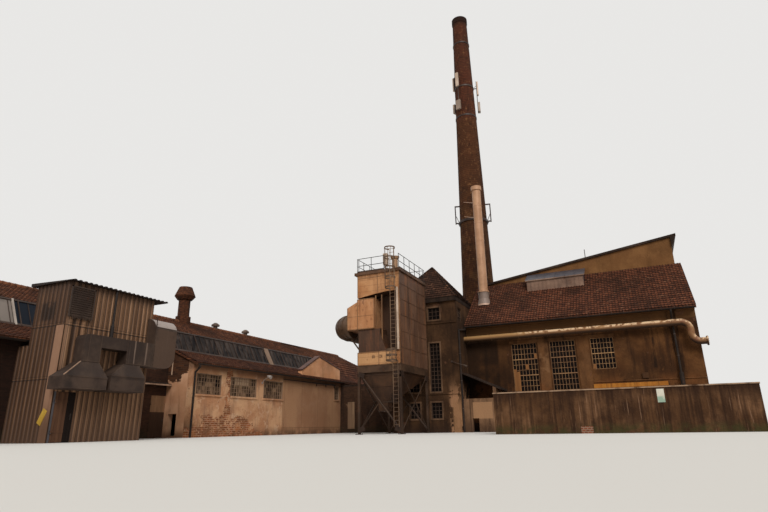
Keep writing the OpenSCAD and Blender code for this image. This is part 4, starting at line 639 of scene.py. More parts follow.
# %% Finishes of single steel pieces
own.update({
    "filter_frame": steel("stand_steel", "#352519", "#4a3526", "#20150f", "#5b3520", 0.6, 0.6, 0.3, [
        ("#5a4230", 0.7, ("Z", 2.14, 2.17), (0.5, 0.35, 0.6))]),
    "roof_monitor": steel("pale_monitor_sheet", "#6f5444", "#876a57", "#4e3a2f", zones=[
        ("#4e4b50", 0.92, ("Y", -2.555, -2.53)),
        ("#3c3a40", 0.6, ("Y", -2.555, -2.53), (0.5, 0.4, 0.6))]),
    "filter_intake": steel(
        "intake_paint", "#ae774d", "#c18e65", "#885838", "#6b3f26", 0.7, 0.55, 0.15, chute_zones),
    "filter_roof_slab": steel("rusty_roof_slab", "#4d3524", "#664833", "#2e2018", zones=[
        ("#a17c5d", 0.9, ("Z", 6.22, 6.26))]),
    "exhaust_hoods": steel("dark_hood_steel", "#31241d", "#46362b", "#1f1611", "#4a3327", 0.4, 0.65, 0.1, [
        ("#4b3a30", 0.6, ("Z", 1.6, 1.56), (0.4, 0.3, 0.6))])})
for row in frame["record"]["subparts"]:
    skin = nodes[row["node"]].data.materials
    skin.clear()
    skin.append(own.get(row["node"], finishes[row["material_slot"]]))
print("gave", len(finishes) + len(own), "finishes to", len(nodes), "nodes")

# %% [markdown]
# New pieces are made of simple shapes by bmesh, and each mesh keeps its place in its own points.
# A batten lies on a line of a surface and stands proud along the face's direction. Strips are battens on
# an upright face, and each line has its place along the face and its height, at both ends.

# %% Simple shapes
EAST, SOUTH, UP = (1, 0, 0), (0, -1, 0), (0, 0, 1)


def block(bm, low, high):
    low, high = Vector(low), Vector(high)
    size = Matrix.Diagonal((high - low).to_4d())
    bmesh.ops.create_cube(bm, size=1, matrix=Matrix.Translation((low + high) / 2) @ size)


def batten(bm, start, end, wide, thick, face):
    start, end, face = Vector(start), Vector(end), Vector(face).normalized()
    along = end - start
    side = face.cross(along).normalized() * wide
    shape = Matrix((along, side, face * thick)).transposed().to_4x4()
    middle = (start + end) / 2 + face * thick / 2
    bmesh.ops.create_cube(bm, size=1, matrix=Matrix.Translation(middle) @ shape)


def strips(bm, face, at, lines, wide, thick):
    for u0, z0, u1, z1 in lines:
        ends = [(at, u, z) if face[0] else (u, at, z) for u, z in ((u0, z0), (u1, z1))]
        batten(bm, *ends, wide, thick, face)


def rod(bm, start, end, radius, sides=10, end_radius=None):
    start, end = Vector(start), Vector(end)
    turn = (end - start).to_track_quat("Z", "Y").to_matrix().to_4x4()
    bmesh.ops.create_cone(bm, cap_ends=True, segments=sides, radius1=radius,
                          radius2=radius if end_radius is None else end_radius, depth=(end - start).length,
                          matrix=Matrix.Translation((start + end) / 2) @ turn)


def collars(bm, x, y, heights, tall, radius, sides=16):
    for z in heights:
        rod(bm, (x, y, z), (x, y, z + tall), radius, sides)


def ease(bm, offset, segments=1):
    bmesh.ops.bevel(bm, geom=bm.edges[:], offset=offset, offset_type="OFFSET", affect="EDGES",
                    segments=segments, profile=0.5, material=-1)


print("faces look east", EAST, "and south", SOUTH)

# %% [markdown]
# A finished mesh becomes a piece with a name. It rides on the factory or on one of the two door leaves, and
# it takes the finish of its material slot unless it is given one of its own. An Array modifier repeats a piece at a
# fixed step.

# %% Pieces and rows
def piece(name, bm, slot, finish=None, body="factory", smooth=False):
    mesh = bpy.data.meshes.new(name)
    bm.to_mesh(mesh)
    bm.free()
    mesh.materials.append(finish or finishes[slot])
    for face in mesh.polygons:
        face.use_smooth = smooth
    thing = bpy.data.objects.new(name, mesh)
    scene.collection.objects.link(thing)
    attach(thing, body)
    print(name, len(mesh.polygons), "faces")
    return thing


def repeated(thing, step, count):
    rows = thing.modifiers.new("row", "ARRAY")
    rows.use_relative_offset, rows.use_constant_offset = False, True
    rows.constant_offset_displace = step
    rows.count = count
    return thing


# %% [markdown]
# The boiler house has steel windows with small panes, and a heavier bar marks each opening light. Two columns
# of the first window and a few panes are boarded up. The bars are dusty, so they are paler than the glass.

# %% Steel window bars
def bars(bm, across, up, columns, rows, face, plane, thin=0.011, heavy=0.024, heavy_rows=()):
    # plane "Y" is a window that faces -Y, and plane "X" one that faces +X
    def put(u, v, depth):
        if plane == "Y":
            block(bm, (u[0], face - depth, v[0]), (u[1], face, v[1]))
        else:
            block(bm, (face, u[0], v[0]), (face + depth, u[1], v[1]))
    for i in range(columns + 1):
        u = across[0] + (across[1] - across[0]) * i / columns
        w = heavy if i in (0, columns) else thin
        put((max(u - w, across[0]), min(u + w, across[1])), up, 0.03 if w == heavy else 0.02)
    for i in range(rows + 1):
        v = up[0] + (up[1] - up[0]) * i / rows
        w = heavy if i in (0, rows) or i in heavy_rows else thin
        put(across, (max(v - w, up[0]), min(v + w, up[1])), 0.034 if w == heavy else 0.018)


bar_paint = steel("dusty_window_bars", "#8a6444", "#a88056", "#513926", "#5a3826", 0.6, 0.6, 0.15)
bm = bmesh.new()
for across, low, columns, rows, heavy_rows in (((2.33, 3.36), 1.55, 8, 9, (3, 6)), ((3.89, 4.875), 1.55, 8, 9, (3, 6)),
                                               ((5.47, 6.32), 2.29, 7, 6, (3,))):
    bars(bm, across, (low, 3.5), columns, rows, -4.14, "Y", 0.006, 0.015, heavy_rows)
piece("boiler_window_bars", bm, "dusty_glass", bar_paint)

board_finish = old_wood("window_board_paint", "#7c5230", "#8f6239", "#4c3220")
bm = bmesh.new()
for i, (x0, x1, z0, z1) in enumerate(((2.35, 2.465, 1.57, 2.46), (2.47, 2.6, 1.57, 2.36), (2.85, 2.97, 2.43, 2.63),
                                      (3.24, 3.345, 2.86, 3.05), (5.49, 5.585, 2.31, 2.49))):
    block(bm, (x0, -4.178 - 0.003 * i, z0), (x1, -4.15, z1))
piece("window_boards", bm, "board_paint", board_finish)

# %% [markdown]
# The stair tower has pairs of windows in three tiers, each in a surround of render, and one in its side wall.

# %% Window bars of the stair tower
STAIR_MIDDLE, STAIR_TIERS = -1.1125, ((0.45, 4, 0.55, 1.18), (0.46, 12, 1.615, 3.62), (0.52, 3, 4.62, 5.14))
dark_bars = steel("dark_window_bars", "#3d2d23", "#523e30", "#221914", "#52311f", 0.6, 0.6, 0.2)
surround = render_coat("window_surround_render", "#5b4331", "#71553f", "#33241a")
bm, frames = bmesh.new(), bmesh.new()
for width, rows, low, high in STAIR_TIERS:
    for side in (-1, 1):
        inner = STAIR_MIDDLE + side * 0.25
        left, far = sorted((inner, inner + side * width))
        bars(bm, (left, far), (low, high), 3, rows, -5.44, "Y", 0.009, 0.02)
        for z in (low - 0.06, high):
            block(frames, (left - 0.06, -5.525, z), (far + 0.06, -5.5, z + 0.06))
        for x in (left - 0.06, far):
            block(frames, (x, -5.525, low), (x + 0.06, -5.5, high))
bars(bm, (-5.33, -4.78), (4.56, 5.1), 3, 3, 0.345, "X", 0.009, 0.02)
piece("stair_window_bars", bm, "dusty_glass", dark_bars)
piece("stair_window_surrounds", frames, "brown_render", surround)

# %% [markdown]
# The hall's windows are low and wide, and a board frame lines the sides and the head of each.
# The same three windows are repeated in the back wall.

# %% Window bars of the hall
HALL_FRONT, HALL_REVEAL, HALL_BACK = -7.99, -7.925, -13.87 - 0.034
hall_windows = (((-11.53, -10.165), (1.54, 2.31), 9), ((-9.625, -7.95), (1.54, 2.31), 11),
                ((-7.45, -6.025), (1.54, 2.31), 9), ((-1.3, -0.79), (1.7, 2.4), 3))
pale_bars = steel("pale_hall_window_bars", "#7d624d", "#95785f", "#54402f", "#5d3c29", 0.5, 0.6, 0.15)
bm, frames = bmesh.new(), bmesh.new()
for ends, heights, columns in hall_windows:
    bars(bm, ends, heights, columns, 5, HALL_FRONT, "X", 0.007, 0.022)
    for y in (ends[0], ends[1] - 0.03):
        block(frames, (HALL_FRONT, y, heights[0]), (HALL_REVEAL, y + 0.03, heights[1]))
    block(frames, (HALL_FRONT, ends[0], heights[1] - 0.03), (HALL_REVEAL, ends[1], heights[1]))
piece("hall_window_bars", bm, "dusty_glass", pale_bars)
piece("hall_window_frames", frames, "board_paint", pale_bars)
bm = bmesh.new()
for ends, heights, columns in hall_windows[:3]:
    bars(bm, ends, heights, columns, 5, HALL_BACK, "X", 0.007, 0.022)
piece("hall_rear_window_bars", bm, "dusty_glass", pale_bars)

# %% [markdown]
# One tile is a small grid, bent into a shallow wave and tipped up at its lower edge. Two Array modifiers
# lay it out, first along a course and then up the slope.

# %% Roof tiles
TILE, HALL_START, HALL_LENGTH, MIRROR = 0.115, -21.25, 25.5, -21.86


def tiles(name, corner, along, upslope, length, courses, finish, bulge=0.004):
    along, reach = Vector(along).normalized(), Vector(upslope).length
    upslope = Vector(upslope).normalized()
    out = along.cross(upslope)
    if out.z < 0:
        out = -out
    columns = round(length / TILE)
    pitch, row = length / columns, reach / courses
    bm = bmesh.new()
    bmesh.ops.create_grid(bm, x_segments=5, y_segments=1, size=0.5)
    for v in bm.verts:
        u, w = v.co.x + 0.5, v.co.y + 0.5
        wave = bulge * math.cos(2 * math.pi * u)
        v.co = Vector(corner) + along * u * pitch + upslope * w * row * 1.12 + out * (0.014 + wave + 0.02 * (1 - w))
    lower = [e for e in bm.edges if len(e.link_faces) == 1 and
             all(abs((v.co - Vector(corner)).dot(upslope)) < 1e-4 for v in e.verts)]
    lip = bmesh.ops.extrude_edge_only(bm, edges=lower)["geom"]
    bmesh.ops.translate(bm, verts=[g for g in lip if isinstance(g, bmesh.types.BMVert)], vec=-out * 0.026)
    bmesh.ops.recalc_face_normals(bm, faces=bm.faces)
    if sum(f.normal.dot(out) for f in bm.faces) < 0:
        bmesh.ops.reverse_faces(bm, faces=bm.faces)
    laid = piece(name, bm, "roof_tiles", finish)
    repeated(repeated(laid, along * pitch, columns), upslope * row, courses)
    print(name, columns * courses, "tiles")


tiles("boiler_roof_tiles", (0.42, -4.5, 4.42), (1, 0, 0), (0, 2.775, 2.34), 8.93, 22, tiled["boiler"], 0.01)
for side, way, eave, upper, runs in (("front", -1, -7.73, -9.31, ((HALL_START, 5.83), (-11.8, 16.05))),
                                     ("rear", 1, MIRROR + 7.73, MIRROR + 9.31, ((HALL_START, HALL_LENGTH),))):
    for n, (start, length) in enumerate(runs):
        tiles("hall_lower_tiles_%s_%d" % (side, n), (eave, start, 2.665), (0, 1, 0), (1.15 * way, 0, 0.525), length, 8,
              tiled["hall_low"])
    tiles("hall_upper_tiles_" + side, (upper, HALL_START, 4.01), (0, 1, 0), (1.62 * way, 0, 0.795), HALL_LENGTH, 11,
          tiled["hall_high"])
tiles("hall_steep_tiles", (-8.88, -1.5, 3.19), (0, 1, 0), (-0.43, 0, 0.82), 5.75, 6, tiled["hall_steep"])

# %% [markdown]
# The stair tower's roof has four faces that meet in a point. Its courses are four-sided rings, each with a lip
# that stands past the course below. Half-round tiles cover its hips and the hall's ridge.

# %% Ridge and hip tiles
def ridge(name, start, end, radius, pitch, finish):
    start, end = Vector(start), Vector(end)
    count = round((end - start).length / pitch)
    step = (end - start) / count
    bm = bmesh.new()
    rod(bm, start, start + step * 1.06, radius, 12, radius * 0.88)
    bmesh.ops.bisect_plane(bm, geom=bm.verts[:] + bm.edges[:] + bm.faces[:],
                           plane_co=start - Vector((0, 0, radius * 0.35)), plane_no=(0, 0, 1), clear_inner=True)
    repeated(piece(name, bm, "roof_tiles", finish, smooth=True), step, count)


orange_clay = clay_tiles("orange_ridge_clay", "#855439", "#63402d", "#3d2a20", "Y", HALL_START, 0, 9, 0.2)
ridge("hall_ridge_tiles", (-10.93, HALL_START, 4.8), (-10.93, 4.25, 4.8), 0.1, 0.2, orange_clay)
for n, (x, y) in enumerate(((-2.73, -5.6), (0.405, -5.6), (0.405, -2.4), (-2.73, -2.4))):
    ridge("stair_hip_tiles_%d" % n, (x, y, 5.56), (-1.1125, -4, 7.4), 0.055, 0.17, tiled["stair"])

bm = bmesh.new()
rise, rings = ROOFS["stair"][4:6]
shape = Matrix.Diagonal((1.5675, 1.6, 1, 1)) @ Matrix.Rotation(math.radians(45), 4, "Z")
for i in range(rings):
    low_share, high_share, middle = 1 - i / rings, 1 - (i + 1) / rings, (i + 0.5) / rings
    centre = Vector((-1.1625 + 0.05 * middle, -4, 5.55 + rise * middle + 0.008))
    bmesh.ops.create_cone(bm, cap_ends=True, segments=4, radius1=math.sqrt(2) * (low_share * 1.016 + 0.006),
                          radius2=math.sqrt(2) * max(high_share, 0.01), depth=rise / rings,
                          matrix=Matrix.Translation(centre) @ shape)
piece("stair_roof_courses", bm, "roof_tiles", tiled["stair"])

# %% [markdown]
# The hall's north light is a steep band of wired glass. Bars stand proud of the panes, every fourth one is
# heavier, and a lead strip closes foot and head. One pane is a pale board, and one bar is painted white.

# %% Glazing bars
foot_edge, head_edge = Vector((-8.88, 0, 3.19)), Vector((-9.31, 0, 4.01))
glass_out = Vector(((head_edge - foot_edge).z, 0, -(head_edge - foot_edge).x)).normalized()


def on_glass(y, share, mirror=1):
    spot = foot_edge.lerp(head_edge, share) + Vector((0, y, 0))
    return spot if mirror == 1 else Vector((MIRROR - spot.x, spot.y, spot.z))


for side, mirror, length in (("front", 1, 19.75), ("rear", -1, HALL_LENGTH)):
    bm = bmesh.new()
    face = Vector((glass_out.x * mirror, 0, glass_out.z))
    count = round(length / 0.3)
    for i in range(count + 1):
        y = -21.235 + i * (length - 0.03) / count
        wide, proud = (0.026, 0.035) if i % 4 == 0 else (0.012, 0.022)
        batten(bm, on_glass(y, 0, mirror), on_glass(y, 1, mirror), wide, proud, face)
    for share in (0.03, 0.96):
        batten(bm, on_glass(HALL_START, share, mirror), on_glass(HALL_START + length, share, mirror), 0.06, 0.03, face)
    piece("glazing_bars_" + side, bm, "grey_steel")

pale_board = steel("pale_cover_paint", "#836a57", "#9b8069", "#5f4c3e", RUST, 0.3, 0.7, 0.05)
white_lead = steel("white_bar_paint", "#a89a8e", "#c2b4a7", "#7a6b60", RUST, 0.2, 0.6, 0)
for name, slot, finish, y, head, wide, thick in (
        ("pale_glazing_cover", "board_paint", pale_board, -5.68, 0.97, 0.3, 0.038),
        ("white_glazing_bar", "grey_steel", white_lead, -17.81, 0.99, 0.05, 0.045)):
    bm = bmesh.new()
    batten(bm, on_glass(y, 0), on_glass(y, head), wide, thick, glass_out)
    piece(name, bm, slot, finish)

# %% [markdown]
# Sheet metal is joined by flanges and folded seams, which show as thin lines with a row of bolts and tell
# the eye how big the boxes are. Each seam is a batten on the face of its box.

# %% Seams of the tower's duct and hoods
def bolts(bm, points, face, radius=0.012, head=0.012):
    for point in points:
        rod(bm, point, Vector(point) + Vector(face) * head, radius, 6)


DUCT, HOOD = -5.78, -5.574
seam_paint = steel("grey_seam_paint", "#3d2e25", "#4f3e32", "#231914", "#4a3327", 0.5, 0.65, 0.1)
bm = bmesh.new()
strips(bm, EAST, DUCT, [(y, low, y, high) for y, low, high in (
    (-17.36, 1.97, 2.69), (-16.52, 2.015, 2.69), (-15.6, 2.015, 3.48), (-17.7, 1.97, 2.69))], 0.03, 0.006)
strips(bm, EAST, DUCT, [(-17.855, 2, -17.36, 2), (-16.52, 2.04, -15.6, 2.04), (-15.6, 3.2, -14.8, 3.2)],
       0.03, 0.012)
strips(bm, EAST, HOOD, [(left, z, end, z) for left, end, top_z in ((-18.41, -17.2, 1.57), (-17.1, -15.99, 1.66))
                        for z in (top_z, 1.285)], 0.026, 0.012)
for y0, z0, end in ((-18.4, 1.57, (-17.855, 1.97)), (-17.21, 1.57, (-17.36, 1.97)),
                    (-17.09, 1.66, (-16.58, 2.015)), (-16, 1.66, (-16.07, 2.015))):
    rod(bm, (HOOD, y0, z0), (DUCT - 0.002, *end), 0.012, 8)
for y, count in ((-15.6, 10), (-16.52, 5)):
    bolts(bm, [(DUCT + 0.012, y, 2.1 + 0.13 * i) for i in range(count)], EAST)
piece("duct_seams", bm, "duct_steel", seam_paint)

pale_edge = steel("bare_sheet_edge", "#a88870", "#bd9c83", "#74594a", RUST, 0.4, 0.45, 0.2)
bm = bmesh.new()
batten(bm, (-5.6, -18.405, 1.585), (-5.8, -17.87, 1.965), 0.035, 0.016, (0, -1, 1))
strips(bm, EAST, -5.8, [(-14.82, 1.86, -14.82, 2.26)], 0.03, 0.015)
piece("hood_edge_strips", bm, "duct_steel", pale_edge)

bm = bmesh.new()
rod(bm, (-6.092, -16.85, 2.69), (-6.092, -16.85, 3.04), 0.048, 16)
rod(bm, (-6.092, -16.85, 3.04), (-6.092, -16.85, 3.1), 0.048, 16, 0.031)
piece("vent_pipe_sleeve", bm, "duct_steel")

# %% [markdown]
# The louvre is a frame with slanting blades. Its lowest blades are torn, and their ragged ends hang down,
# which points of different length show. A bare plate hangs lower down.

# %% Louvre and plate of the tower
bm = bmesh.new()
for y in (-18.2, -17.53):
    block(bm, (-6.122, y, 3.12), (-6.09, y + 0.03, 3.94))
block(bm, (-6.122, -18.2, 3.91), (-6.09, -17.5, 3.94))
for i in range(13):
    z = 3.17 + 0.058 * i
    batten(bm, (-6.12, -18.17, z), (-6.12, -17.53, z), 0.05, 0.008, (0.75, 0, 0.66))
for i in range(15):
    length = 0.05 + 0.045 * abs(math.sin(2.3 * i + 0.7))
    y = -18.16 + 0.045 * i
    rod(bm, (-6.11, y, 3.155), (-6.108, y + 0.008, 3.155 - length), 0.03, 4, 0.004)
piece("louvre_blades", bm, "grey_steel", own["tower_louvre"])

yellow = steel("yellow_plate_enamel", "#b08a35", "#c9a548", "#7c5f2a", "#6b4a24", 0.4, 0.45, 0.1)
bm = bmesh.new()
strips(bm, SOUTH, -18.222, [(-6.52, 0.44, -6.34, 0.79)], 0.17, 0.008)
ease(bm, 0.003)
piece("yellow_bare_plate", bm, "ribbed_sheet", yellow)

# %% [markdown]
# Both doors are made of narrow boards. The boards and the handle ride on the leaf's own body, so they swing
# with it, and they keep clear of the hinge side.

# %% Door details
iron = steel("worn_iron_fittings", "#2b2420", "#40372f", "#191512", RUST, 0.5, 0.4, 0.5)
BOARDS = 5
for body, x, y0, y1, height, finish in (("tower_leaf", -6.188, -18.06, -17.6, 1.21, finishes["door_wood"]),
                                        ("passage_leaf", -9.18, -12.35, -11.74, 1.48, own["passage_door"])):
    bm = bmesh.new()
    step = (y1 - y0) / BOARDS
    for i in range(BOARDS):
        block(bm, (x, y0 + step * i + 0.003, 0.02), (x + 0.006, y0 + step * (i + 1) - 0.003, height - 0.01))
    ease(bm, 0.002)
    piece(body + "_boards", bm, "door_wood", finish, body)
    bm = bmesh.new()
    block(bm, (x + 0.006, y1 - 0.07, 0.55), (x + 0.01, y1 - 0.035, 0.7))
    rod(bm, (x + 0.008, y1 - 0.052, 0.64), (x + 0.03, y1 - 0.052, 0.64), 0.007)
    rod(bm, (x + 0.03, y1 - 0.058, 0.64), (x + 0.03, y1 - 0.115, 0.64), 0.007)
    piece(body + "_handle", bm, "dark_steel", iron, body)

# %% [markdown]
# The filter's round duct is bolted together from rings, each with a circle of bolts. Its elbow is welded
# from short segments, and the welds show as thin rings.

# %% Duct rings
def ring_bolts(bm, centre, axis, radius, count, size=0.014, length=0.07):
    axis = Vector(axis).normalized()
    start = axis.orthogonal().normalized() * radius
    for i in range(count):
        spot = Vector(centre) + Matrix.Rotation(2 * math.pi * i / count, 3, axis) @ start
        rod(bm, spot - axis * length / 2, spot + axis * length / 2, size, 6)


BEND, INTAKE_X, DUCT_Z = 0.48, -3.15, 4.15
bm = bmesh.new()
first, last = -7.54, -0.52
for i in range(5):
    ring_bolts(bm, (INTAKE_X - BEND, first + 0.02 + i * (last - first) / 4, DUCT_Z), (0, 1, 0), 0.478, 24)
ring_bolts(bm, (-3.17, -8.1, DUCT_Z), (1, 0, 0), 0.478, 24)
for turn in (18, 36, 54, 72):
    a = math.radians(turn)
    centre = Vector((INTAKE_X - BEND * math.sin(a), -7.62 - BEND * math.cos(a), DUCT_Z))
    along = Vector((-math.cos(a), math.sin(a), 0)) * 0.0128
    rod(bm, centre - along, centre + along, 0.483, 48)
piece("duct_rings_and_bolts", bm, "duct_steel", own["filter_duct"])

# %% [markdown]
# Strips cover the seams of the casing's panels, bolts hold the corner strips, and a pale pipe with four
# clamps climbs the corner by the ladder.

# %% Filter casing details
CASING_EAST, CASING_SOUTH = -0.875, -8.6
trim = steel("casing_strip_paint", "#86603f", "#9c7450", "#573b28", "#5a3522", 0.7, 0.5, 0.15)
dark_trim = steel("side_strip_paint", "#563c2b", "#6e503b", "#38261b", "#4d2f1e", 0.6, 0.5, 0.15)
bm = bmesh.new()
strips(bm, EAST, CASING_EAST, [(-8.6, z, -5.8, z) for z in (3.12, 3.74, 4.36, 4.98, 5.6)], 0.022, 0.012)
strips(bm, EAST, CASING_EAST, [(y, 2.5, y, 6.085) for y in (-8.585, -7.67, -6.73, -5.815)], 0.028, 0.014)
bolts(bm, [(-0.861, y, 2.6 + 0.2 * i) for i in range(17) for y in (-8.585, -5.815)], EAST, 0.008, 0.008)
block(bm, (-0.876, -7.25, 4.5), (-0.868, -7.16, 4.6))
piece("casing_side_strips", bm, "filter_paint", dark_trim)

bm = bmesh.new()
for lines, wide, thick in (
        ([(-2.685, z, -0.875, z) for z in (2.515, 2.99, 5.96)], 0.03, 0.014),
        ([(x, low, x, high) for x, low, high in (
            (-2.672, 2.5, 3), (-1.78, 2.5, 3), (-0.89, 2.5, 6.08), (-2.672, 5.16, 6.08), (-1.79, 5.32, 6.08))],
         0.026, 0.014),
        ([(x - 0.04, 2.81, x + 0.04, 2.81) for x in (-1.975, -1.735)], 0.06, 0.006),
        ([(x, 3.91, x, high) for x, high in ((-3.135, 4.79), (-2.685, 5.11), (-1.965, 5.11))], 0.03, 0.012),
        ([(-3.15, 3.92, -1.965, 3.92), (-2.695, 5.1, -1.965, 5.1)], 0.03, 0.012),
        ([(-3.15, 4.43, -1.965, 4.43)], 0.014, 0.006)):
    strips(bm, SOUTH, CASING_SOUTH, lines, wide, thick)
bolts(bm, [(-2.6 + 0.19 * i, -8.614, 2.515) for i in range(10)], SOUTH, 0.008, 0.008)
piece("casing_front_strips", bm, "filter_paint", trim)

pale_pipe = steel("bare_zinc_pipe", "#a9917c", "#c2ab95", "#6f5a4a", RUST, 0.3, 0.45, 0.2)
bm = bmesh.new()
rod(bm, (-0.945, -8.66, 3.02), (-0.945, -8.66, 5.41), 0.047, 16)
collars(bm, -0.945, -8.66, (3.45, 4.1, 4.75, 5.3), 0.04, 0.055)
piece("casing_side_pipe", bm, "filter_paint", pale_pipe)

bm = bmesh.new()
for x, low in ((-1.925, 3.01), (-1.664, 3.2)):
    block(bm, (x - 0.02, -8.52, low), (x + 0.02, -8.48, 5.22))
piece("bay_posts", bm, "filter_paint", trim)

bm = bmesh.new()
block(bm, (-1.56, -8.59, 6.4), (-1.375, -8.41, 6.88))
ease(bm, 0.02, 2)
rod(bm, (-1.47, -8.5, 6.19), (-1.47, -8.5, 6.42), 0.025, 12)
piece("roof_control_box", bm, "filter_paint", pale_pipe)

# %% [markdown]
# Flats are welded round the hopper against bulging. The stand's joints have gusset plates, and a toe board
# runs round the roof below the railing.

# %% Hopper, stand and railing details
legs_x, legs_y = (-2.595, -0.965), (-8.51, -5.89)
mouth_x, mouth_y = (-2, -1.56), (-8.305, -7.865)
SKIRT_Z, MOUTH_Z = 2.125, 1.14
bm = bmesh.new()
for i, sign in enumerate((-1, 1)):
    strips(bm, (sign, 0, 0), legs_x[i], [(legs_y[0], 2.135, legs_y[1], 2.135)], 0.03, 0.016)
    strips(bm, (0, sign, 0), legs_y[i], [(legs_x[0], 2.135, legs_x[1], 2.135)], 0.03, 0.016)
for share in (0.42, 0.93):
    xs = [a + (b - a) * share for a, b in zip(legs_x, mouth_x)]
    ys = [a + (b - a) * share for a, b in zip(legs_y, mouth_y)]
    z = SKIRT_Z + (MOUTH_Z - SKIRT_Z) * share
    corners = [(xs[0], ys[0], z), (xs[1], ys[0], z), (xs[1], ys[1], z), (xs[0], ys[1], z)]
    for i in range(4):
        rod(bm, corners[i - 1], corners[i], 0.016, 6)
piece("hopper_bands", bm, "filter_paint", own["filter_hopper"])

bm = bmesh.new()
for x, sign in ((-2.64, 1), (-0.92, -1)):
    for z, lean in ((2.2, 1), (0.14, -1)):
        strips(bm, SOUTH, -8.602, [(x, z, x + sign * 0.24, z - lean * 0.09)], 0.17, 0.008)
        bolts(bm, [(x + sign * 0.06 * k, -8.61, z - lean * 0.02 * k) for k in range(4)], SOUTH, 0.01, 0.01)
    for y in (-8.48, -5.92):
        block(bm, (x - 0.03, y - 0.12, 2.03), (x - sign * 0.055, y + 0.12, 2.24))
    for y in (-8.555, -5.845):
        block(bm, (x - 0.11, y - 0.11, 0), (x + 0.11, y + 0.11, 0.022))
        bolts(bm, [(x + a, y + b, 0.022) for a in (-0.08, 0.08) for b in (-0.08, 0.08)], UP, 0.012, 0.02)
piece("stand_gussets", bm, "dark_steel")

bm = bmesh.new()
for x in (-2.685, -0.875):
    block(bm, (x - 0.006, -8.6, 6.2), (x + 0.006, -5.8, 6.27))
for y, end in ((-8.6, -1.505), (-5.8, -0.875)):
    block(bm, (-2.685, y - 0.006, 6.2), (end, y + 0.006, 6.27))
piece("railing_toe_boards", bm, "dark_steel")

# %% [markdown]
# The roof monitor is clad in upright sheets with standing seams. The flue is a tube of short shells, each
# joined to the next by a ring.

# %% Monitor seams and flue rings
MONITOR_FOOT = 4.42 + (6.76 - 4.42) * (-2.56 + 4.5) / 2.775 + 0.01
bm = bmesh.new()
strips(bm, SOUTH, -2.56, [(2.965 + i * 0.1745, MONITOR_FOOT, 2.965 + i * 0.1745, 6.56) for i in range(15)],
       0.014, 0.014)
for i in range(7):
    x = 2.9 + i * 0.431
    batten(bm, (x, -2.615, 6.573), (x, -1.74, 7.064), 0.02, 0.014, (0, -0.489, 0.872))
piece("monitor_seams", bm, "grey_steel", own["roof_monitor"])

bm = bmesh.new()
collars(bm, 1.02, -3, [6.9 + 0.9 * i for i in range(5)], 0.035, 0.2165, 40)
for z in (6.16, 6.1):
    ring_bolts(bm, (1.02, -3, z), UP, 0.255, 16, 0.01, 0.04)
piece("flue_rings", bm, "flue_steel")

bm = bmesh.new()
rod(bm, (0, 0, 10.78), (0, 0, 10.91), 0.795, 48, 0.792)
ring_bolts(bm, (0, 0, 10.845), UP, 0.8, 12, 0.03, 0.05)
piece("bracket_ring_belt", bm, "grey_steel", own["chimney_hoops"])

# %% [markdown]
# Straps hold the pipe's lagging, and its end flange has a circle of bolts. Clips hold the three downpipes to
# their walls, and small brackets hold the boiler house gutter.

# %% Pipe straps and downpipe clips
bm = bmesh.new()
for i in range(20):
    x = 0.62 + 0.418 * i
    rod(bm, (x, -4.5, 3.81), (x + 0.014, -4.5, 3.81), 0.1285, 28)
ring_bolts(bm, (9.5, -4.5, 3.065), (1, 0, 0), 0.15, 12, 0.01, 0.07)
piece("pipe_straps", bm, "pipe_cladding")

bm = bmesh.new()
house_clips, hall_clips, CLIP = (0.7, 1.45, 2.6, 3.4), (0.6, 1.4, 2.1), 0.03
collars(bm, 8.48, -4.31, house_clips, CLIP, 0.047)
collars(bm, 0.45, -5.445, (0.9, 2, 3.1), CLIP, 0.047)
collars(bm, -7.8775, -11.665, hall_clips, CLIP, 0.044)
for z in house_clips:
    block(bm, (8.465, -4.3, z), (8.495, -4.2, z + CLIP))
for z in hall_clips:
    block(bm, (-7.93, -11.68, z), (-7.88, -11.65, z + CLIP))
for i in range(20):
    x = 0.7 + 0.44 * i
    batten(bm, (x, -4.6, 4.305), (x, -4.5, 4.425), 0.02, 0.006, (0, -0.77, 0.64))
piece("pipe_clips", bm, "grey_steel")

# %% [markdown]
# A lamp is a short cone over a disc, on a bent arm of tube with a round wall plate.

# %% Lamps
lamp_paint = steel("pale_lamp_enamel", "#9d9188", "#b5a9a0", "#5d5048", RUST, 0.3, 0.4, 0.3)
hall_lamp = [(x0, -7.583, z0, x1, -7.583, z1, *tube) for x0, z0, x1, z1, *tube in (
    (-7.93, 2.18, -7.905, 2.18, 0.045, 16), (-7.92, 2.18, -7.8, 2.32, 0.012), (-7.8, 2.32, -7.6, 2.415, 0.012),
    (-7.6, 2.445, -7.46, 2.39, 0.05, 16, 0.085), (-7.66, 2.468, -7.6, 2.445, 0.03, 16, 0.05))]
stair_lamp = [(0.1, -5.5, 2.8, 0.1, -5.53, 2.8, 0.045, 16), (0.1, -5.53, 2.8, 0.38, -5.58, 2.7, 0.014),
              (0.38, -5.58, 2.7, 0.64, -5.58, 2.61, 0.014), (0.6, -5.58, 2.63, 0.76, -5.58, 2.55, 0.03, 16, 0.05)]
for name, tubes, finish in (("hall_wall_lamp", hall_lamp, lamp_paint), ("stair_wall_lamp", stair_lamp, seam_paint)):
    bm = bmesh.new()
    for row in tubes:
        rod(bm, row[:3], row[3:6], *row[6:])
    piece(name, bm, "dark_steel", finish)

# %% [markdown]
# Last come a rail along the hall, the edge of the lean-to roof, eave boards under the stair tower's roof,
# a bare enamel plate on the yard wall and a boarded opening in the link.

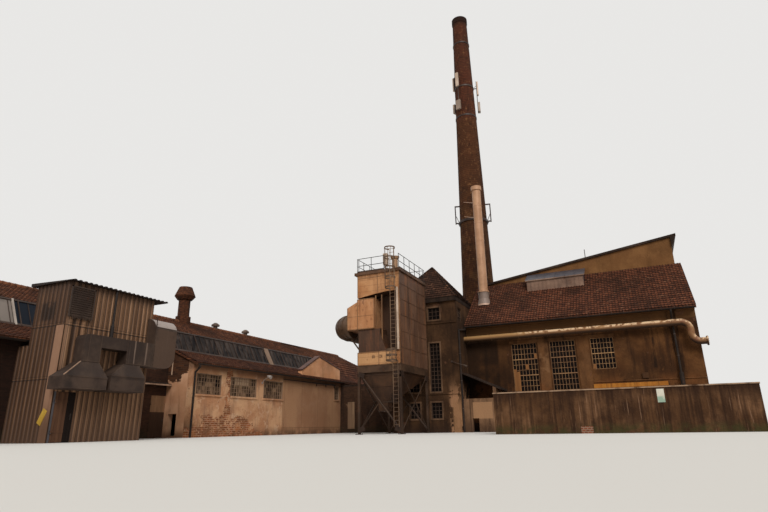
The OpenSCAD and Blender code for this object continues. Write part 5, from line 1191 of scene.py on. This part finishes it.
# %% Rails, edges and bare plates
bm = bmesh.new()
block(bm, (-7.93, -3.55, 2.425), (-7.905, -1.2, 2.475))
block(bm, (-7.93, -5.99, 2.43), (-7.912, -3.6, 2.47))
for y in (-3.1, -2.2, -1.32):
    block(bm, (-7.93, y - 0.02, 2.3), (-7.9, y + 0.02, 2.46))
piece("hall_wall_rail", bm, "dark_steel")

bm = bmesh.new()
strips(bm, EAST, -8.92, [(-15.41, 1.875, -11.74, 1.875)], 0.05, 0.008)
piece("lean_to_edge", bm, "grey_steel", pale_edge)

eave_board = render_coat("dark_eave_board", "#241a15", "#33271f", "#17110e")
bm = bmesh.new()
for x0, y0, x1, y1 in ((-2.736, -5.612, 0.411, -5.6), (-2.742, -5.6, -2.73, -2.4),
                       (0.405, -5.6, 0.417, -2.4), (-2.736, -2.4, 0.411, -2.388)):
    block(bm, (x0, y0, 5.37), (x1, y1, 5.55))
piece("stair_eave_boards", bm, "roof_felt", eave_board)

plate_enamel = steel("pale_plate_enamel", "#c6c0ad", "#d5d0c0", "#98917f", RUST, 0.2, 0.4, 0.05, [
    ("#7f9c88", 0.85, ("Z", 0.9, 0.84), (0.12, 0.3, 0.5))])
bm = bmesh.new()
strips(bm, SOUTH, -11.6, [(7.4, 0.89, 7.57, 0.89)], 0.33, 0.01)
ease(bm, 0.004, 2)
bolts(bm, [(x, -11.61, z) for x in (7.42, 7.55) for z in (0.745, 1.035)], SOUTH, 0.006, 0.004)
piece("yard_bare_plate", bm, "yard_concrete", plate_enamel)

link_paint = old_wood("dusty_board_paint", "#7d624c", "#917559", "#523c2d")
bm = bmesh.new()
strips(bm, SOUTH, -0.627, [(-7.247, 0.2, -7.247, 1.58)], 0.42, 0.01)
strips(bm, SOUTH, -0.637, [(-7.45, z, -7.045, z) for z in (0.25, 0.9, 1.53)], 0.05, 0.01)
piece("link_board_face", bm, "board_paint", link_paint)

# %% [markdown]
# A pale floor meets a pale sky, with one wide soft light from the front right and even light from all round,
# so that no side is black. A colour renders about as it is written, and the white of the sky is only what
# the camera, a mirror or glass sees.

# %% Studio
HALF_FLOOR, SKY_LIGHT, SKY_SEEN, SUN_LIGHT, SUN_SPREAD = 140, 0.72, 0.92, 1.9, 25
bm = bmesh.new()
bmesh.ops.create_grid(bm, x_segments=1, y_segments=1, size=HALF_FLOOR)
mesh = bpy.data.meshes.new("studio_floor")
bm.to_mesh(mesh)
bm.free()
mesh.materials.append(close(new_finish("pale_studio_floor"), "#d9d5ce", (), 0.9))
floor = bpy.data.objects.new("studio_floor", mesh)
scene.collection.objects.link(floor)

sky = bpy.data.worlds.new("studio_sky")
sky.use_nodes = True
scene.world = sky
rays = add(sky, "LightPath").outputs
mirrored = add(sky, "Math", (rays["Is Glossy Ray"], rays["Is Transmission Ray"]), operation="MAXIMUM")
seen = add(sky, "Math", (rays["Is Camera Ray"], mirrored), operation="MAXIMUM")
strength = add(sky, "MapRange", {"Value": seen, "To Min": SKY_LIGHT, "To Max": SKY_SEEN})
wire(sky, sky.node_tree.nodes["Background"], {"Color": "#f1f0ee", "Strength": strength})
sun = bpy.data.objects.new("soft_light", bpy.data.lights.new("soft_light", "SUN"))
sun.data.energy, sun.data.angle = SUN_LIGHT, math.radians(SUN_SPREAD)
sun.rotation_mode = "QUATERNION"
sun.rotation_quaternion = Vector((0.55, -0.85, 0.75)).to_track_quat("Z", "Y")
scene.collection.objects.link(sun)
print("the sky lights with", SKY_LIGHT, "and the soft light with", SUN_LIGHT)
